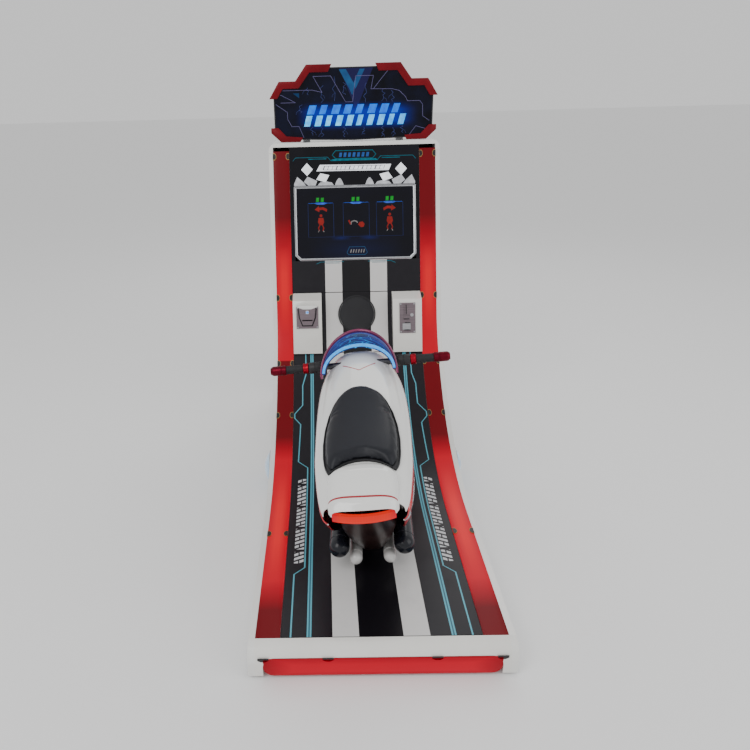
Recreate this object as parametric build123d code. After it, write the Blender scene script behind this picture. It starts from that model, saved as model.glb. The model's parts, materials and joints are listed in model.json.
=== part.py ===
"""Ride-on motorcycle racing cabinet: a curved ramp deck rises into a screen tower, and a leaning bike
stands on the deck.  +Z up, +Y towards the tower, origin at the floor under the middle of the cabinet."""
import math
import os

from build123d import *

# ---------------------------------------------------------------- driving dimensions (mm)
LENGTH = 1760.0            # nose to the rear edge of the side panels
WIDTH = 720.0              # over the side panels
SIDE_T = 18.0              # side panel thickness
FLOOR_GAP = 8.0            # panels stop this far above the floor
DECK_Z = 91.0              # top of the flat deck
DECK_FRONT = 45.0          # nose to the front edge of the deck
FLAT_RUN = 546.0           # flat part of the deck
RAMP_R1 = 883.0            # first bend
RAMP_A1 = 52.3             # its angle, degrees
RAMP_R2 = 483.0            # tighter bend into the tower
TOWER_LEAN = 17.7          # tower face from the vertical, degrees
TOWER_RUN = 707.0          # straight tower face
DECK_W = 547.0             # deck panel between the light rails
PANEL_T = 20.0             # deck and face panels
EDGE_LIP = 3.0             # side panels stand proud of the deck
RAIL_DEPTH = 18.0          # light channel depth
LENS_T = 3.0               # acrylic lenses
SEAM_S = 1597.0            # panel joint under the screen, along the ramp
DECK_END_S = 1336.0        # panel joint under the coin boxes, along the ramp
FACE_TOP_T = 690.0         # top of the black face, up the tower
DISPLAY_W = 514.0          # display bezel, outside
DISPLAY_H = 314.0
DISPLAY_T0 = 213.0         # bottom of the display bezel, up the tower
TUBE = 40.0                # frame tube
PIVOT_Y = 520.0            # lean axis, middle, from the nose
PIVOT_Z = 225.0
PIVOT_RISE = 30.0          # lean axis rises to the front of the bike, degrees
REST_LEAN = -6.5           # the unloaded bike rests leaned to its left, degrees
SHAFT_D = 25.0
BAR_Y = 775.0              # handlebar, from the nose
BAR_Z = 583.0
BAR_D = 22.0
BAR_SPAN = 620.0
FIT = 0.05                 # radial running clearance
GAP = 0.3                  # clearance between soft or moving pieces

# ---------------------------------------------------------------- derived places
INNER_X = WIDTH / 2 - SIDE_T
A1 = math.radians(RAMP_A1)
A2 = math.radians(90 - TOWER_LEAN)
ARC1_S = FLAT_RUN + RAMP_R1 * A1
ARC2_S = ARC1_S + RAMP_R2 * (A2 - A1)
TOP_S = ARC2_S + TOWER_RUN


def nose(distance):
    """Y of a place measured back from the nose."""
    return distance - LENGTH / 2


def ramp_point(s, lift=0.0, x=0.0):
    """A point at distance s along the ramp surface, lifted off it, and the slope there."""
    y_flat, slope = nose(DECK_FRONT) + min(s, FLAT_RUN), 0.0
    y, z = y_flat, DECK_Z
    if s > FLAT_RUN:
        slope = min((s - FLAT_RUN) / RAMP_R1, A1)
        y += RAMP_R1 * math.sin(slope)
        z += RAMP_R1 * (1 - math.cos(slope))
    if s > ARC1_S:
        slope = min(A1 + (s - ARC1_S) / RAMP_R2, A2)
        y += RAMP_R2 * (math.sin(slope) - math.sin(A1))
        z += RAMP_R2 * (math.cos(A1) - math.cos(slope))
    if s > ARC2_S:
        y += (s - ARC2_S) * math.cos(A2)
        z += (s - ARC2_S) * math.sin(A2)
    return Vector(x, y - lift * math.sin(slope), z + lift * math.cos(slope)), slope


def ramp_edges(s0, s1, lift, x):
    """Line and arc edges that follow the ramp from s0 to s1."""
    stops = [s0] + [s for s in (FLAT_RUN, ARC1_S, ARC2_S) if s0 < s < s1] + [s1]
    edges = []
    for a, b in zip(stops, stops[1:]):
        start, end = ramp_point(a, lift, x)[0], ramp_point(b, lift, x)[0]
        middle = ramp_point((a + b) / 2, lift, x)[0]
        straight = b <= FLAT_RUN or a >= ARC2_S
        edges.append(Edge.make_line(start, end) if straight
                     else Edge.make_three_point_arc(start, middle, end))
    return edges


def ramp_slab(s0, s1, low, high, x0, x1):
    """A slab that follows the ramp, from lift low to lift high, between x0 and x1."""
    top = ramp_edges(s0, s1, high, x0)
    bottom = ramp_edges(s0, s1, low, x0)
    ends = [Edge.make_line(ramp_point(s, low, x0)[0], ramp_point(s, high, x0)[0]) for s in (s0, s1)]
    return extrude(Face(Wire(top + bottom + ends)), amount=x1 - x0, dir=(1, 0, 0))


def block(x0, x1, y0, y1, z0, z1):
    """A box between two corners."""
    return Pos((x0 + x1) / 2, (y0 + y1) / 2, (z0 + z1) / 2) * Box(x1 - x0, y1 - y0, z1 - z0)


def side_prism(points, x0, x1):
    """A polygon of (y, z) points, extruded from x0 to x1."""
    outline = Wire.make_polygon([Vector(x0, y, z) for y, z in points], close=True)
    return extrude(Face(outline), amount=x1 - x0, dir=(1, 0, 0))


def front_prism(points, y0, y1):
    """A polygon of (x, z) points, extruded from y0 to y1."""
    outline = Wire.make_polygon([Vector(x, y0, z) for x, z in points], close=True)
    return extrude(Face(outline), amount=y1 - y0, dir=(0, 1, 0))


def rod(start, end, radius):
    """A round bar between two points."""
    start, end = Vector(*start), Vector(*end)
    plane = Plane(origin=start, z_dir=end - start)
    return extrude(plane * Circle(radius), amount=(end - start).length)


def mirrored(shape):
    return mirror(shape, about=Plane.YZ)


def group(shapes):
    return Compound(children=list(shapes))


TOWER = Plane(origin=ramp_point(ARC2_S)[0], x_dir=(1, 0, 0), z_dir=(0, -math.sin(A2), math.cos(A2)))
RAMP_TOP = ramp_point(TOP_S)[0]


def on_tower(x, t, lift, shape):
    """Places a shape, drawn flat at the origin, on the tower face."""
    return TOWER.location * Pos(x, t, lift) * shape


def tower_block(x0, x1, t0, t1, low, high):
    return on_tower((x0 + x1) / 2, (t0 + t1) / 2, (low + high) / 2, Box(x1 - x0, t1 - t0, high - low))


PARTS = {}

# ---------------------------------------------------------------- cabinet shell
REAR_Y = LENGTH / 2
CAP_Z = RAMP_TOP.Z - 40
REAR_FACE = REAR_Y - 12    # outside of the recessed rear panel
REAR_T = 12.0


def side_panel(x0):
    """One side panel: nose round, ramp edge, tower, straight back."""
    stop_s = ARC2_S + (CAP_Z - ramp_point(ARC2_S)[0].Z) / math.sin(A2)
    corner_r = DECK_Z + EDGE_LIP - (DECK_Z + EDGE_LIP - DECK_FRONT)
    deck_z = DECK_Z + EDGE_LIP
    foot = Vector(x0, nose(0), FLOOR_GAP)
    shin = Vector(x0, nose(0), deck_z - corner_r)
    bend = Vector(x0, nose(corner_r * (1 - math.sqrt(0.5))), deck_z - corner_r * (1 - math.sqrt(0.5)))
    deck = Vector(x0, nose(DECK_FRONT), deck_z)
    ramp = ramp_edges(0, stop_s, EDGE_LIP, x0)
    top = ramp_point(stop_s, EDGE_LIP, x0)[0]
    corners = [top, Vector(x0, REAR_Y, top.Z), Vector(x0, REAR_Y, FLOOR_GAP), foot, shin]
    edges = [Edge.make_line(a, b) for a, b in zip(corners, corners[1:])]
    edges += [Edge.make_three_point_arc(shin, bend, deck)] + ramp
    return extrude(Face(Wire(edges)), amount=SIDE_T, dir=(1, 0, 0))


PARTS["side_panel_right"] = side_panel(INNER_X)
PARTS["side_panel_left"] = side_panel(-WIDTH / 2)

cap_front = ramp_point(TOP_S, EDGE_LIP)[0]
cap_low = ramp_point(TOP_S - 16 / math.sin(A2), EDGE_LIP)[0]
side_top = RAMP_TOP.Z + EDGE_LIP * math.cos(A2) - 40
cap_outline = [(cap_front.Y, cap_front.Z), (REAR_Y, cap_front.Z), (REAR_Y, side_top + 0.5),
               (cap_front.Y - 41.5 / math.tan(A2), side_top + 0.5)]
cap = side_prism(cap_outline, -WIDTH / 2, WIDTH / 2)
cap = fillet(cap.edges().filter_by(Axis.Y).sort_by(Axis.Z)[-2:], 30)
cap -= block(-INNER_X, INNER_X, -REAR_Y, REAR_Y + 1, side_top - 20, cap_low.Z)
PARTS["tower_top_cap"] = cap

LENS_W, LENS_TOP = 640.0, 66.0
nose_points = [(nose(0), FLOOR_GAP), (nose(0), 49), (nose(13.2), 80.8), (nose(45), 94), (nose(45), 79),
               (nose(20), 66), (nose(14), 49), (nose(14), FLOOR_GAP)]
nose_outline = [Edge.make_line(Vector(-INNER_X, *a), Vector(-INNER_X, *b))
                for a, b in zip(nose_points[3:] , nose_points[4:] + nose_points[:2])]
nose_outline.append(Edge.make_line(Vector(-INNER_X, *nose_points[0]), Vector(-INNER_X, *nose_points[1])))
nose_outline = nose_outline[:-2] + [nose_outline[-1]]
nose_outline.append(Edge.make_three_point_arc(*[Vector(-INNER_X, *p) for p in nose_points[1:4]]))
nose_outline.append(Edge.make_line(Vector(-INNER_X, *nose_points[7]), Vector(-INNER_X, *nose_points[0])))
nose_cap = extrude(Face(Wire(nose_outline)), amount=2 * INNER_X, dir=(1, 0, 0))
window = block(-LENS_W / 2, LENS_W / 2, nose(-1), nose(40), FLOOR_GAP - 1, LENS_TOP)
window = fillet(window.edges().filter_by(Axis.Y).sort_by(Axis.Z)[-2:], 30)
PARTS["nose_cap"] = nose_cap - window
lens = block(-LENS_W / 2 + 0.5, LENS_W / 2 - 0.5, nose(1.5), nose(1.5 + LENS_T), FLOOR_GAP, LENS_TOP - 0.5)
lens_z = lens.edges().filter_by(Axis.Y).sort_by(Axis.Z)[-2:]
nose_hull = side_prism([(nose(0), 0), (nose(0), 49), (nose(4), 64), (nose(13), 81), (nose(40), 81), (nose(40), 0)],
                       -INNER_X, INNER_X)
PARTS["nose_lens"] = fillet(lens_z, 29.5) & nose_hull
PARTS["nose_light_strip"] = block(-300, 300, nose(16), nose(18), 36, 46)

# deck, lower tower panel and screen surround
POST_X, POST_Y0, POST_Y1 = 62.0, 395.0, 665.0
deck_opening = block(-POST_X, POST_X, nose(POST_Y0), nose(POST_Y1), 0, 140)
PARTS["deck_panel"] = ramp_slab(0, DECK_END_S - 0.5, -PANEL_T, 0, -DECK_W / 2, DECK_W / 2) - deck_opening

BOX_W, BOX_X = 122.0, 211.0
SPEAKER_T = -18.0
lower = ramp_slab(DECK_END_S + 0.5, SEAM_S - 0.5, -PANEL_T, 0, -DECK_W / 2, DECK_W / 2)
lower_uncut = lower
for x in (-BOX_X, BOX_X):
    lower -= tower_block(x - 48, x + 48, -118, 42, -60, 40)
lower -= on_tower(0, SPEAKER_T, 0, Cylinder(62, 120))
PARTS["lower_tower_panel"] = lower

face = ramp_slab(SEAM_S + 0.5, ARC2_S + FACE_TOP_T, -PANEL_T, 0, -DECK_W / 2, DECK_W / 2)
display_mid = DISPLAY_T0 + DISPLAY_H / 2
face -= on_tower(0, display_mid, 0, Box(DISPLAY_W + 1, DISPLAY_H + 1, 60))
PARTS["screen_surround"] = face

# ---------------------------------------------------------------- light rails
RAIL_X0, RAIL_X1 = DECK_W / 2 + 0.5, INNER_X - 0.3
RAIL_END_S = ARC2_S + 674
lens_right = ramp_slab(0, RAIL_END_S, -LENS_T, 0, RAIL_X0, RAIL_X1)
channel = ramp_slab(0, RAIL_END_S, -RAIL_DEPTH - 2, -LENS_T, RAIL_X0, RAIL_X1)
channel -= ramp_slab(-1, RAIL_END_S + 1, -RAIL_DEPTH, 0, RAIL_X0 + 2, RAIL_X1 - 2)
strip = ramp_slab(20, RAIL_END_S - 20, -RAIL_DEPTH, -RAIL_DEPTH + 2, 302, 314)
PARTS["rail_lens_right"] = lens_right
PARTS["rail_channel_right"] = channel
PARTS["led_strip_right"] = strip
for name in ("rail_lens", "rail_channel", "led_strip"):
    PARTS[name + "_left"] = mirrored(PARTS[name + "_right"])

CLIP_S = (16.0, 444.0, 1053.0, 1290.0, 1578.0, 2172.0)
CLIP_L, CLIP_W, CLIP_T = 28.0, 14.0, 2.5


def half_hexagon(width, length):
    """A flat half hexagon, its long side on the X = 0 line."""
    points = [(0, -length / 2), (width, -length / 4), (width, length / 4), (0, length / 2)]
    return Polyline(*points, close=True)


def clip(s, x, side):
    """One lens clip on the ramp, its long side at x and its point towards side."""
    place, slope = ramp_point(s, 0.15, x)
    plane = Plane(origin=place, x_dir=(side, 0, 0), z_dir=(0, -math.sin(slope), math.cos(slope)))
    body = extrude(make_face(half_hexagon(CLIP_W, CLIP_L)), amount=CLIP_T)
    return plane.location * body


clips = []
for s in CLIP_S:
    clips.append(clip(s, RAIL_X0 + 0.2, 1))
    clips.append(mirrored(clips[-1]))
    if s > CLIP_S[0]:
        clips.append(clip(s, RAIL_X1 - 0.2, -1))
        clips.append(mirrored(clips[-1]))
PARTS["rail_clips"] = group(clips)

nose_clip_shape = front_prism([(-17, 0), (-9, -13), (9, -13), (17, 0)], 0, 1.5)
nose_clips = [Pos(x, nose(0), LENS_TOP - 8) * nose_clip_shape for x in (-145, 145)]
PARTS["nose_clips"] = group(nose_clips)

# ---------------------------------------------------------------- steel frame and feet
FRAME_X, FRAME_Z0 = 318.0, 31.0
FRAME_Z1 = FRAME_Z0 + TUBE
FRAME_Y0, FRAME_Y1 = 60.0, 1700.0
UPRIGHT_TOP = 1150.0


def tube_between(axis, start, length):
    """Square tube, 3 mm wall, along one axis from its low corner's centre line."""
    sizes = [TUBE, TUBE, TUBE]
    sizes["XYZ".index(axis)] = length
    inner = [s - 6 if n != "XYZ".index(axis) else s for n, s in enumerate(sizes)]
    centre = [c + (length / 2 if n == "XYZ".index(axis) else 0) for n, c in enumerate(start)]
    return Pos(*centre) * (Box(*sizes) - Box(*inner))


rail_z = FRAME_Z0 + TUBE / 2
frame = Part()
for x in (-FRAME_X + TUBE / 2, FRAME_X - TUBE / 2):
    frame += tube_between("Y", (x, nose(FRAME_Y0), rail_z), FRAME_Y1 - FRAME_Y0)
    frame += tube_between("Z", (x, nose(FRAME_Y1) - TUBE / 2, FRAME_Z1), UPRIGHT_TOP - FRAME_Z1)
cross_length = 2 * FRAME_X - 2 * TUBE
for y in (FRAME_Y0 + TUBE / 2, 380.0, 680.0, 1040.0, FRAME_Y1 - TUBE / 2):
    frame += tube_between("X", (-cross_length / 2, nose(y), rail_z), cross_length)
for z in (420.0, UPRIGHT_TOP - TUBE / 2):
    frame += tube_between("X", (-cross_length / 2, nose(FRAME_Y1) - TUBE / 2, z), cross_length)
for x in (-60.0, 60.0):
    frame += tube_between("Y", (x, nose(400.0), rail_z), 260.0)
PARTS["steel_frame"] = frame

foot_places = [(x, y) for x in (-FRAME_X + TUBE / 2, FRAME_X - TUBE / 2) for y in (120.0, 900.0, 1640.0)]
pads = [Pos(x, nose(y), 6) * Cylinder(25, 12) for x, y in foot_places]
studs = [rod((x, nose(y), 12), (x, nose(y), FRAME_Z0), 6) for x, y in foot_places]
PARTS["foot_pads"] = group(pads)
PARTS["foot_studs"] = group(studs)

# ---------------------------------------------------------------- rear of the tower
DOOR_X, DOOR_Z0, DOOR_Z1 = 220.0, 190.0, 860.0
FAN_Z = 1010.0
INLET_X, INLET_Z = 250.0, 130.0
REAR_TOP = cap_low.Z - 1
rear = block(-INNER_X, INNER_X, REAR_FACE - REAR_T, REAR_FACE, FLOOR_GAP, REAR_TOP)
rear -= block(-DOOR_X, DOOR_X, REAR_FACE - 30, REAR_FACE + 5, DOOR_Z0, DOOR_Z1)
rear -= rod((0, REAR_FACE - 30, FAN_Z), (0, REAR_FACE + 5, FAN_Z), 57)
rear -= block(INLET_X - 14, INLET_X + 14, REAR_FACE - 30, REAR_FACE + 5, INLET_Z - 36, INLET_Z + 36)
PARTS["rear_panel"] = rear

door = block(-DOOR_X + 3, DOOR_X - 2, REAR_FACE - REAR_T, REAR_FACE, DOOR_Z0 + 2, DOOR_Z1 - 2)
for row in range(6):
    slot_z = 640 + 24 * row
    door -= block(-90, 90, REAR_FACE - 30, REAR_FACE + 5, slot_z, slot_z + 8)
LOCK_X, LOCK_Z, LOCK_R = 190.0, 525.0, 9.5
door -= rod((LOCK_X, REAR_FACE - 30, LOCK_Z), (LOCK_X, REAR_FACE + 5, LOCK_Z), LOCK_R + FIT)
PARTS["rear_door"] = door
lock = rod((LOCK_X, REAR_FACE - REAR_T - 8, LOCK_Z), (LOCK_X, REAR_FACE + 0.4, LOCK_Z), LOCK_R)
lock += rod((LOCK_X, REAR_FACE + 0.4, LOCK_Z), (LOCK_X, REAR_FACE + 3.4, LOCK_Z), LOCK_R + 2.5)
lock -= block(LOCK_X - 1.2, LOCK_X + 1.2, REAR_FACE + 1.4, REAR_FACE + 5, LOCK_Z - 5, LOCK_Z + 5)
lock += block(LOCK_X - 8, LOCK_X + 8, REAR_FACE - REAR_T - 8, REAR_FACE - REAR_T - 5, LOCK_Z - 45, LOCK_Z + 8)
PARTS["door_lock"] = lock

HINGE_X, HINGE_Y, KNUCKLE_R, PIN_R = -DOOR_X + 1, REAR_FACE + 4.4, 4.0, 2.0
HINGE_Z0, KNUCKLE = 205.0, 128.0


def knuckle(z0, z1):
    return rod((HINGE_X, HINGE_Y, z0), (HINGE_X, HINGE_Y, z1), KNUCKLE_R)


fixed_leaf = block(HINGE_X - 24, HINGE_X - 4.3, REAR_FACE, REAR_FACE + 1.5, HINGE_Z0, HINGE_Z0 + 5 * KNUCKLE)
moving_leaf = block(HINGE_X + 4.3, HINGE_X + 24, REAR_FACE, REAR_FACE + 1.5, HINGE_Z0, HINGE_Z0 + 5 * KNUCKLE)
for n in range(5):
    z0, z1 = HINGE_Z0 + n * KNUCKLE, HINGE_Z0 + (n + 1) * KNUCKLE
    if n % 2 == 0:
        tab = block(HINGE_X - 5, HINGE_X, REAR_FACE + 0.4, REAR_FACE + 1.5, z0, z1)
        fixed_leaf += knuckle(z0, z1) + tab
    else:
        z0, z1 = z0 + GAP, z1 - GAP
        tab = block(HINGE_X, HINGE_X + 5, REAR_FACE + 0.4, REAR_FACE + 1.5, z0, z1)
        moving_leaf += knuckle(z0, z1) + tab
bore = rod((HINGE_X, HINGE_Y, HINGE_Z0 - 1), (HINGE_X, HINGE_Y, HINGE_Z0 + 5 * KNUCKLE + 1), PIN_R + FIT)
PARTS["hinge_leaf_fixed"] = fixed_leaf - bore
PARTS["hinge_leaf_moving"] = moving_leaf - bore
PARTS["hinge_pin"] = rod((HINGE_X, HINGE_Y, HINGE_Z0), (HINGE_X, HINGE_Y, HINGE_Z0 + 5 * KNUCKLE), PIN_R)

# exhaust fan behind the rear panel
FAN_Y0, FAN_Y1 = REAR_FACE - REAR_T - 25, REAR_FACE - REAR_T
fan_body = block(-60, 60, FAN_Y0, FAN_Y1, FAN_Z - 60, FAN_Z + 60)
fan_body -= rod((0, FAN_Y0 - 1, FAN_Z), (0, FAN_Y1 + 1, FAN_Z), 56)
for angle in range(0, 180, 60):
    arm = Pos(0, FAN_Y0 + 2, FAN_Z) * Rot(0, angle, 0) * Box(114, 4, 5)
    fan_body += arm
fan_body += rod((0, FAN_Y0, FAN_Z), (0, FAN_Y0 + 5, FAN_Z), 17)
PARTS["fan_housing"] = fan_body
rotor = rod((0, FAN_Y0 + 5.5, FAN_Z), (0, FAN_Y1 - 2, FAN_Z), 19)
for blade in range(7):
    wing = Pos(34, 0, 0) * Rot(38, 0, 0) * Box(36, 2, 22)
    rotor += Pos(0, FAN_Y0 + 14, FAN_Z) * Rot(0, blade * 360 / 7, 0) * wing
rotor &= rod((0, FAN_Y0 + 5.5, FAN_Z), (0, FAN_Y1 - 1, FAN_Z), 53)
PARTS["fan_rotor"] = rotor
guard = Part()
for radius in (20.0, 34.0, 48.0, 62.0):
    ring = rod((0, REAR_FACE, FAN_Z), (0, REAR_FACE + 2.5, FAN_Z), radius + 1.5)
    guard += ring - rod((0, REAR_FACE - 1, FAN_Z), (0, REAR_FACE + 3, FAN_Z), radius - 1.5)
for angle in (45, 135):
    guard += Pos(0, REAR_FACE + 1.25, FAN_Z) * Rot(0, angle, 0) * Box(125, 2.5, 4)
PARTS["fan_guard"] = guard

# mains inlet and rocker switch
plate = block(INLET_X - 18, INLET_X + 18, REAR_FACE, REAR_FACE + 2.5, INLET_Z - 42, INLET_Z + 42)
body = block(INLET_X - 13.5, INLET_X + 13.5, REAR_FACE - 32, REAR_FACE, INLET_Z - 35, INLET_Z + 35)
socket = block(INLET_X - 12, INLET_X + 12, REAR_FACE - 18, REAR_FACE + 3, INLET_Z - 31, INLET_Z + 1)
rocker_well = block(INLET_X - 9, INLET_X + 9, REAR_FACE - 12, REAR_FACE + 3, INLET_Z + 8, INLET_Z + 34)
inlet = plate + body - socket - rocker_well
for x, z in ((-6, -20), (6, -20), (0, -11)):
    inlet += block(INLET_X + x - 1, INLET_X + x + 1, REAR_FACE - 18, REAR_FACE - 4,
                   INLET_Z + z - 2.5, INLET_Z + z + 2.5)
PARTS["mains_inlet"] = inlet
ROCKER_Z = INLET_Z + 21
rocker_points = [(REAR_FACE - 5, ROCKER_Z - 10), (REAR_FACE - 0.5, ROCKER_Z - 11), (REAR_FACE + 0.3, ROCKER_Z),
                 (REAR_FACE + 2.6, ROCKER_Z + 11), (REAR_FACE - 5, ROCKER_Z + 10)]
PARTS["power_rocker"] = side_prism(rocker_points, INLET_X - 8.5, INLET_X + 8.5)

# ---------------------------------------------------------------- tower electronics
SHELF_Z, SHELF_Y0 = 150.0, 1330.0
shelf = block(-300, 300, nose(SHELF_Y0), nose(1640), SHELF_Z - 3, SHELF_Z)
for x in (-287, 284):
    shelf += block(x, x + 3, nose(1400), nose(1640), FRAME_Z1, SHELF_Z - 3)
PARTS["equipment_shelf"] = shelf
computer = block(-150, 150, nose(1400), nose(1640), SHELF_Z, SHELF_Z + 120)
for n in range(8):
    computer -= block(-120 + 30 * n, -106 + 30 * n, nose(1630), nose(1645), SHELF_Z + 20, SHELF_Z + 100)
PARTS["game_computer"] = computer
PARTS["power_supply"] = block(170, 285, nose(1400), nose(1600), SHELF_Z, SHELF_Z + 50)
board = block(-285, -165, nose(1420), nose(1580), SHELF_Z + 8, SHELF_Z + 10)
for x in (-278, -172):
    for y in (1427, 1573):
        board += rod((x, nose(y), SHELF_Z), (x, nose(y), SHELF_Z + 8), 3)
for n in range(5):
    board += block(-270 + 20 * n, -257 + 20 * n, nose(1440), nose(1470), SHELF_Z + 10, SHELF_Z + 20)
board += block(-250, -200, nose(1500), nose(1545), SHELF_Z + 10, SHELF_Z + 28)
PARTS["io_amplifier_board"] = board

lead_r = 4.0
lead_points = [(INLET_X, REAR_FACE - 32, INLET_Z - 10), (INLET_X, REAR_FACE - 72, INLET_Z - 10),
               (INLET_X - 57, nose(1640), SHELF_Z + 25), (INLET_X - 57, nose(1600), SHELF_Z + 25)]
lead_path = FilletPolyline(*lead_points, radius=26)
PARTS["mains_lead"] = sweep(Plane(origin=lead_points[0], z_dir=(0, -1, 0)) * Circle(lead_r), path=lead_path)

# ---------------------------------------------------------------- display
bezel = on_tower(0, display_mid, -4, Box(DISPLAY_W, DISPLAY_H, 18))
bezel -= on_tower(0, display_mid, 0, Box(DISPLAY_W - 24, DISPLAY_H - 14, 60))
PARTS["display_bezel"] = bezel
PARTS["display_glass"] = on_tower(0, display_mid, 1.5, Box(DISPLAY_W - 25, DISPLAY_H - 15, 3))
PARTS["display_panel"] = on_tower(0, display_mid, -14, Box(DISPLAY_W - 25, DISPLAY_H - 15, 26))
arms = [on_tower(x, display_mid, -31, Box(30, 420, 8)) for x in (-170, 170)]
arms += [on_tower(x, t, -PANEL_T - 3.5, Box(30, 30, 7)) for x in (-170, 170) for t in (display_mid - 190, display_mid + 190)]
PARTS["display_bracket"] = arms[0] + arms[1] + arms[2] + arms[3] + arms[4] + arms[5]

# ---------------------------------------------------------------- coin and note boxes
BOX_LIFT, BOX_TOP_T, BOX_LOW_T, WALL = 50.0, 76.0, -182.0, 3.0


def box_solid(x0, x1, inset):
    """The box body: a sloped top, a flat face parallel to the tower, its back on the ramp."""
    low_s, high_s = DECK_END_S + 1 + inset, ARC2_S + BOX_TOP_T - inset
    back = ramp_edges(low_s, high_s, 0.05, x0)
    ahead = [TOWER.from_local_coords(Vector(0, t, BOX_LIFT - inset))
             for t in (BOX_TOP_T - 34 - inset, BOX_LOW_T + 2 * inset)]
    ahead = [Vector(x0, p.Y, p.Z) for p in ahead]
    corners = [ramp_point(high_s, 0.05, x0)[0], *ahead, ramp_point(low_s, 0.05, x0)[0]]
    front = [Edge.make_line(a, b) for a, b in zip(corners, corners[1:])]
    return extrude(Face(Wire(back + front)), amount=x1 - x0, dir=(1, 0, 0))


def money_box(x):
    outer = box_solid(x - BOX_W / 2, x + BOX_W / 2, 0)
    return outer - box_solid(x - BOX_W / 2 + WALL, x + BOX_W / 2 - WALL, WALL)


NOTE_T, COIN_T, BEZEL = -28.0, -38.0, 92.0
note_box = money_box(-BOX_X) - tower_block(-BOX_X - 38, -BOX_X + 38, NOTE_T - 38, NOTE_T + 38, 30, 70)
PARTS["note_box"] = note_box
COIN_W, COIN_H = 66.0, 127.0
coin_box = money_box(BOX_X) - tower_block(BOX_X - 29, BOX_X + 29, COIN_T - 58, COIN_T + 58, 30, 70)
PARTS["coin_box"] = coin_box

note_bezel = tower_block(-BOX_X - BEZEL / 2, -BOX_X + BEZEL / 2, NOTE_T - BEZEL / 2, NOTE_T + BEZEL / 2,
                         BOX_LIFT, BOX_LIFT + 4)
snout = [(-34, 38), (34, 38), (30, 0), (18, -32), (-18, -32), (-30, 0)]
snout_body = extrude(make_face(Polyline(*snout, close=True)), amount=11)
note_bezel += on_tower(-BOX_X, NOTE_T, BOX_LIFT + 4, snout_body)
note_bezel -= on_tower(-BOX_X, NOTE_T - 12, BOX_LIFT + 10, Box(44, 5, 40))
note_bezel -= on_tower(-BOX_X, NOTE_T + 22, BOX_LIFT + 15, Box(13, 15, 4))
PARTS["note_acceptor_bezel"] = note_bezel
PARTS["note_acceptor_light"] = on_tower(-BOX_X, NOTE_T + 22, BOX_LIFT + 14.5, Box(12, 14, 3))
note_unit = tower_block(-BOX_X - 37, -BOX_X + 37, NOTE_T - 37, NOTE_T + 37, -90, BOX_LIFT - 0.5)
note_unit -= on_tower(-BOX_X, NOTE_T - 12, BOX_LIFT - 20, Box(60, 5, 60))
PARTS["note_validator"] = note_unit

# coin door furniture, from the top: slot, return button, return cup with its flap
BUTTON_X, BUTTON_T, BUTTON_R, BUTTON_TRAVEL = BOX_X + 18, COIN_T + 12, 7.0, 3.0
FLAP_T, FLAP_W, FLAP_H = COIN_T - 36, 34.0, 30.0
coin_plate = tower_block(BOX_X - COIN_W / 2, BOX_X + COIN_W / 2, COIN_T - COIN_H / 2, COIN_T + COIN_H / 2,
                         BOX_LIFT, BOX_LIFT + 3)
coin_plate += on_tower(BOX_X - 6, COIN_T + 36, BOX_LIFT + 5, Box(14, 38, 6))
coin_plate += on_tower(BOX_X - 4, COIN_T + 2, BOX_LIFT + 4, Box(22, 14, 4))
coin_plate -= on_tower(BOX_X - 6, COIN_T + 36, BOX_LIFT, Box(4, 29, 40))
coin_plate -= on_tower(BUTTON_X, BUTTON_T, BOX_LIFT, Cylinder(BUTTON_R + FIT, 40))
coin_plate -= on_tower(BOX_X - 4, FLAP_T, BOX_LIFT, Box(FLAP_W + 1, FLAP_H + 1, 40))
PARTS["coin_plate"] = coin_plate
button = on_tower(BUTTON_X, BUTTON_T, BOX_LIFT, Cylinder(BUTTON_R, 14))
PARTS["coin_return_button"] = button
flap = on_tower(BOX_X - 4, FLAP_T - 0.65, BOX_LIFT + 1.25, Box(FLAP_W, FLAP_H - 2.3, 2))
flap += on_tower(BOX_X - 4, FLAP_T + FLAP_H / 2 - 1.8, BOX_LIFT + 1.25, Rot(0, 90, 0) * Cylinder(1.6, FLAP_W))
PARTS["coin_return_flap"] = flap
coin_unit = tower_block(BOX_X - 27, BOX_X + 9, COIN_T - 4, COIN_T + 54, -70, BOX_LIFT - 0.5)
coin_unit -= on_tower(BOX_X - 6, COIN_T + 36, BOX_LIFT - 20, Box(4, 29, 60))
PARTS["coin_mechanism"] = coin_unit
screw_places = [(x, t) for x in (-BOX_X - 41, -BOX_X + 41) for t in (NOTE_T - 41, NOTE_T + 41)]
screw_places += [(x, t) for x in (BOX_X - 28, BOX_X + 28) for t in (COIN_T - 58.5, COIN_T + 58.5)]
screws = []
for x, t in screw_places:
    base = BOX_LIFT + (4 if x < 0 else 3)
    screws.append(on_tower(x, t, base + 0.8, Cylinder(3, 1.6) - Pos(0, 0, 0.6) * Box(0.8, 4, 1)))
PARTS["faceplate_screws"] = group(screws)

# ---------------------------------------------------------------- speaker
GRILLE_R = 80.0
grille = on_tower(0, SPEAKER_T, 8, Cylinder(GRILLE_R, 16))
grille -= on_tower(0, SPEAKER_T, 12, Cylinder(GRILLE_R - 7, 16))
for ring in range(1, 6):
    for hole in range(6 * ring):
        angle = math.radians(hole * 60 / ring)
        radius = ring * 11.0
        grille -= on_tower(radius * math.cos(angle), SPEAKER_T + radius * math.sin(angle), 0, Cylinder(2.6, 20))
grille -= lower_uncut
PARTS["speaker_grille"] = grille.solids().sort_by(SortBy.VOLUME)[-1]
driver = on_tower(0, SPEAKER_T, -14, Cylinder(60, 4))
driver += on_tower(0, SPEAKER_T, -36, Cone(28, 55, 40))
driver += on_tower(0, SPEAKER_T, -68, Cylinder(34, 24))
driver -= on_tower(0, SPEAKER_T, -26, Cone(14, 50, 30))
PARTS["speaker_driver"] = driver

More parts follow.
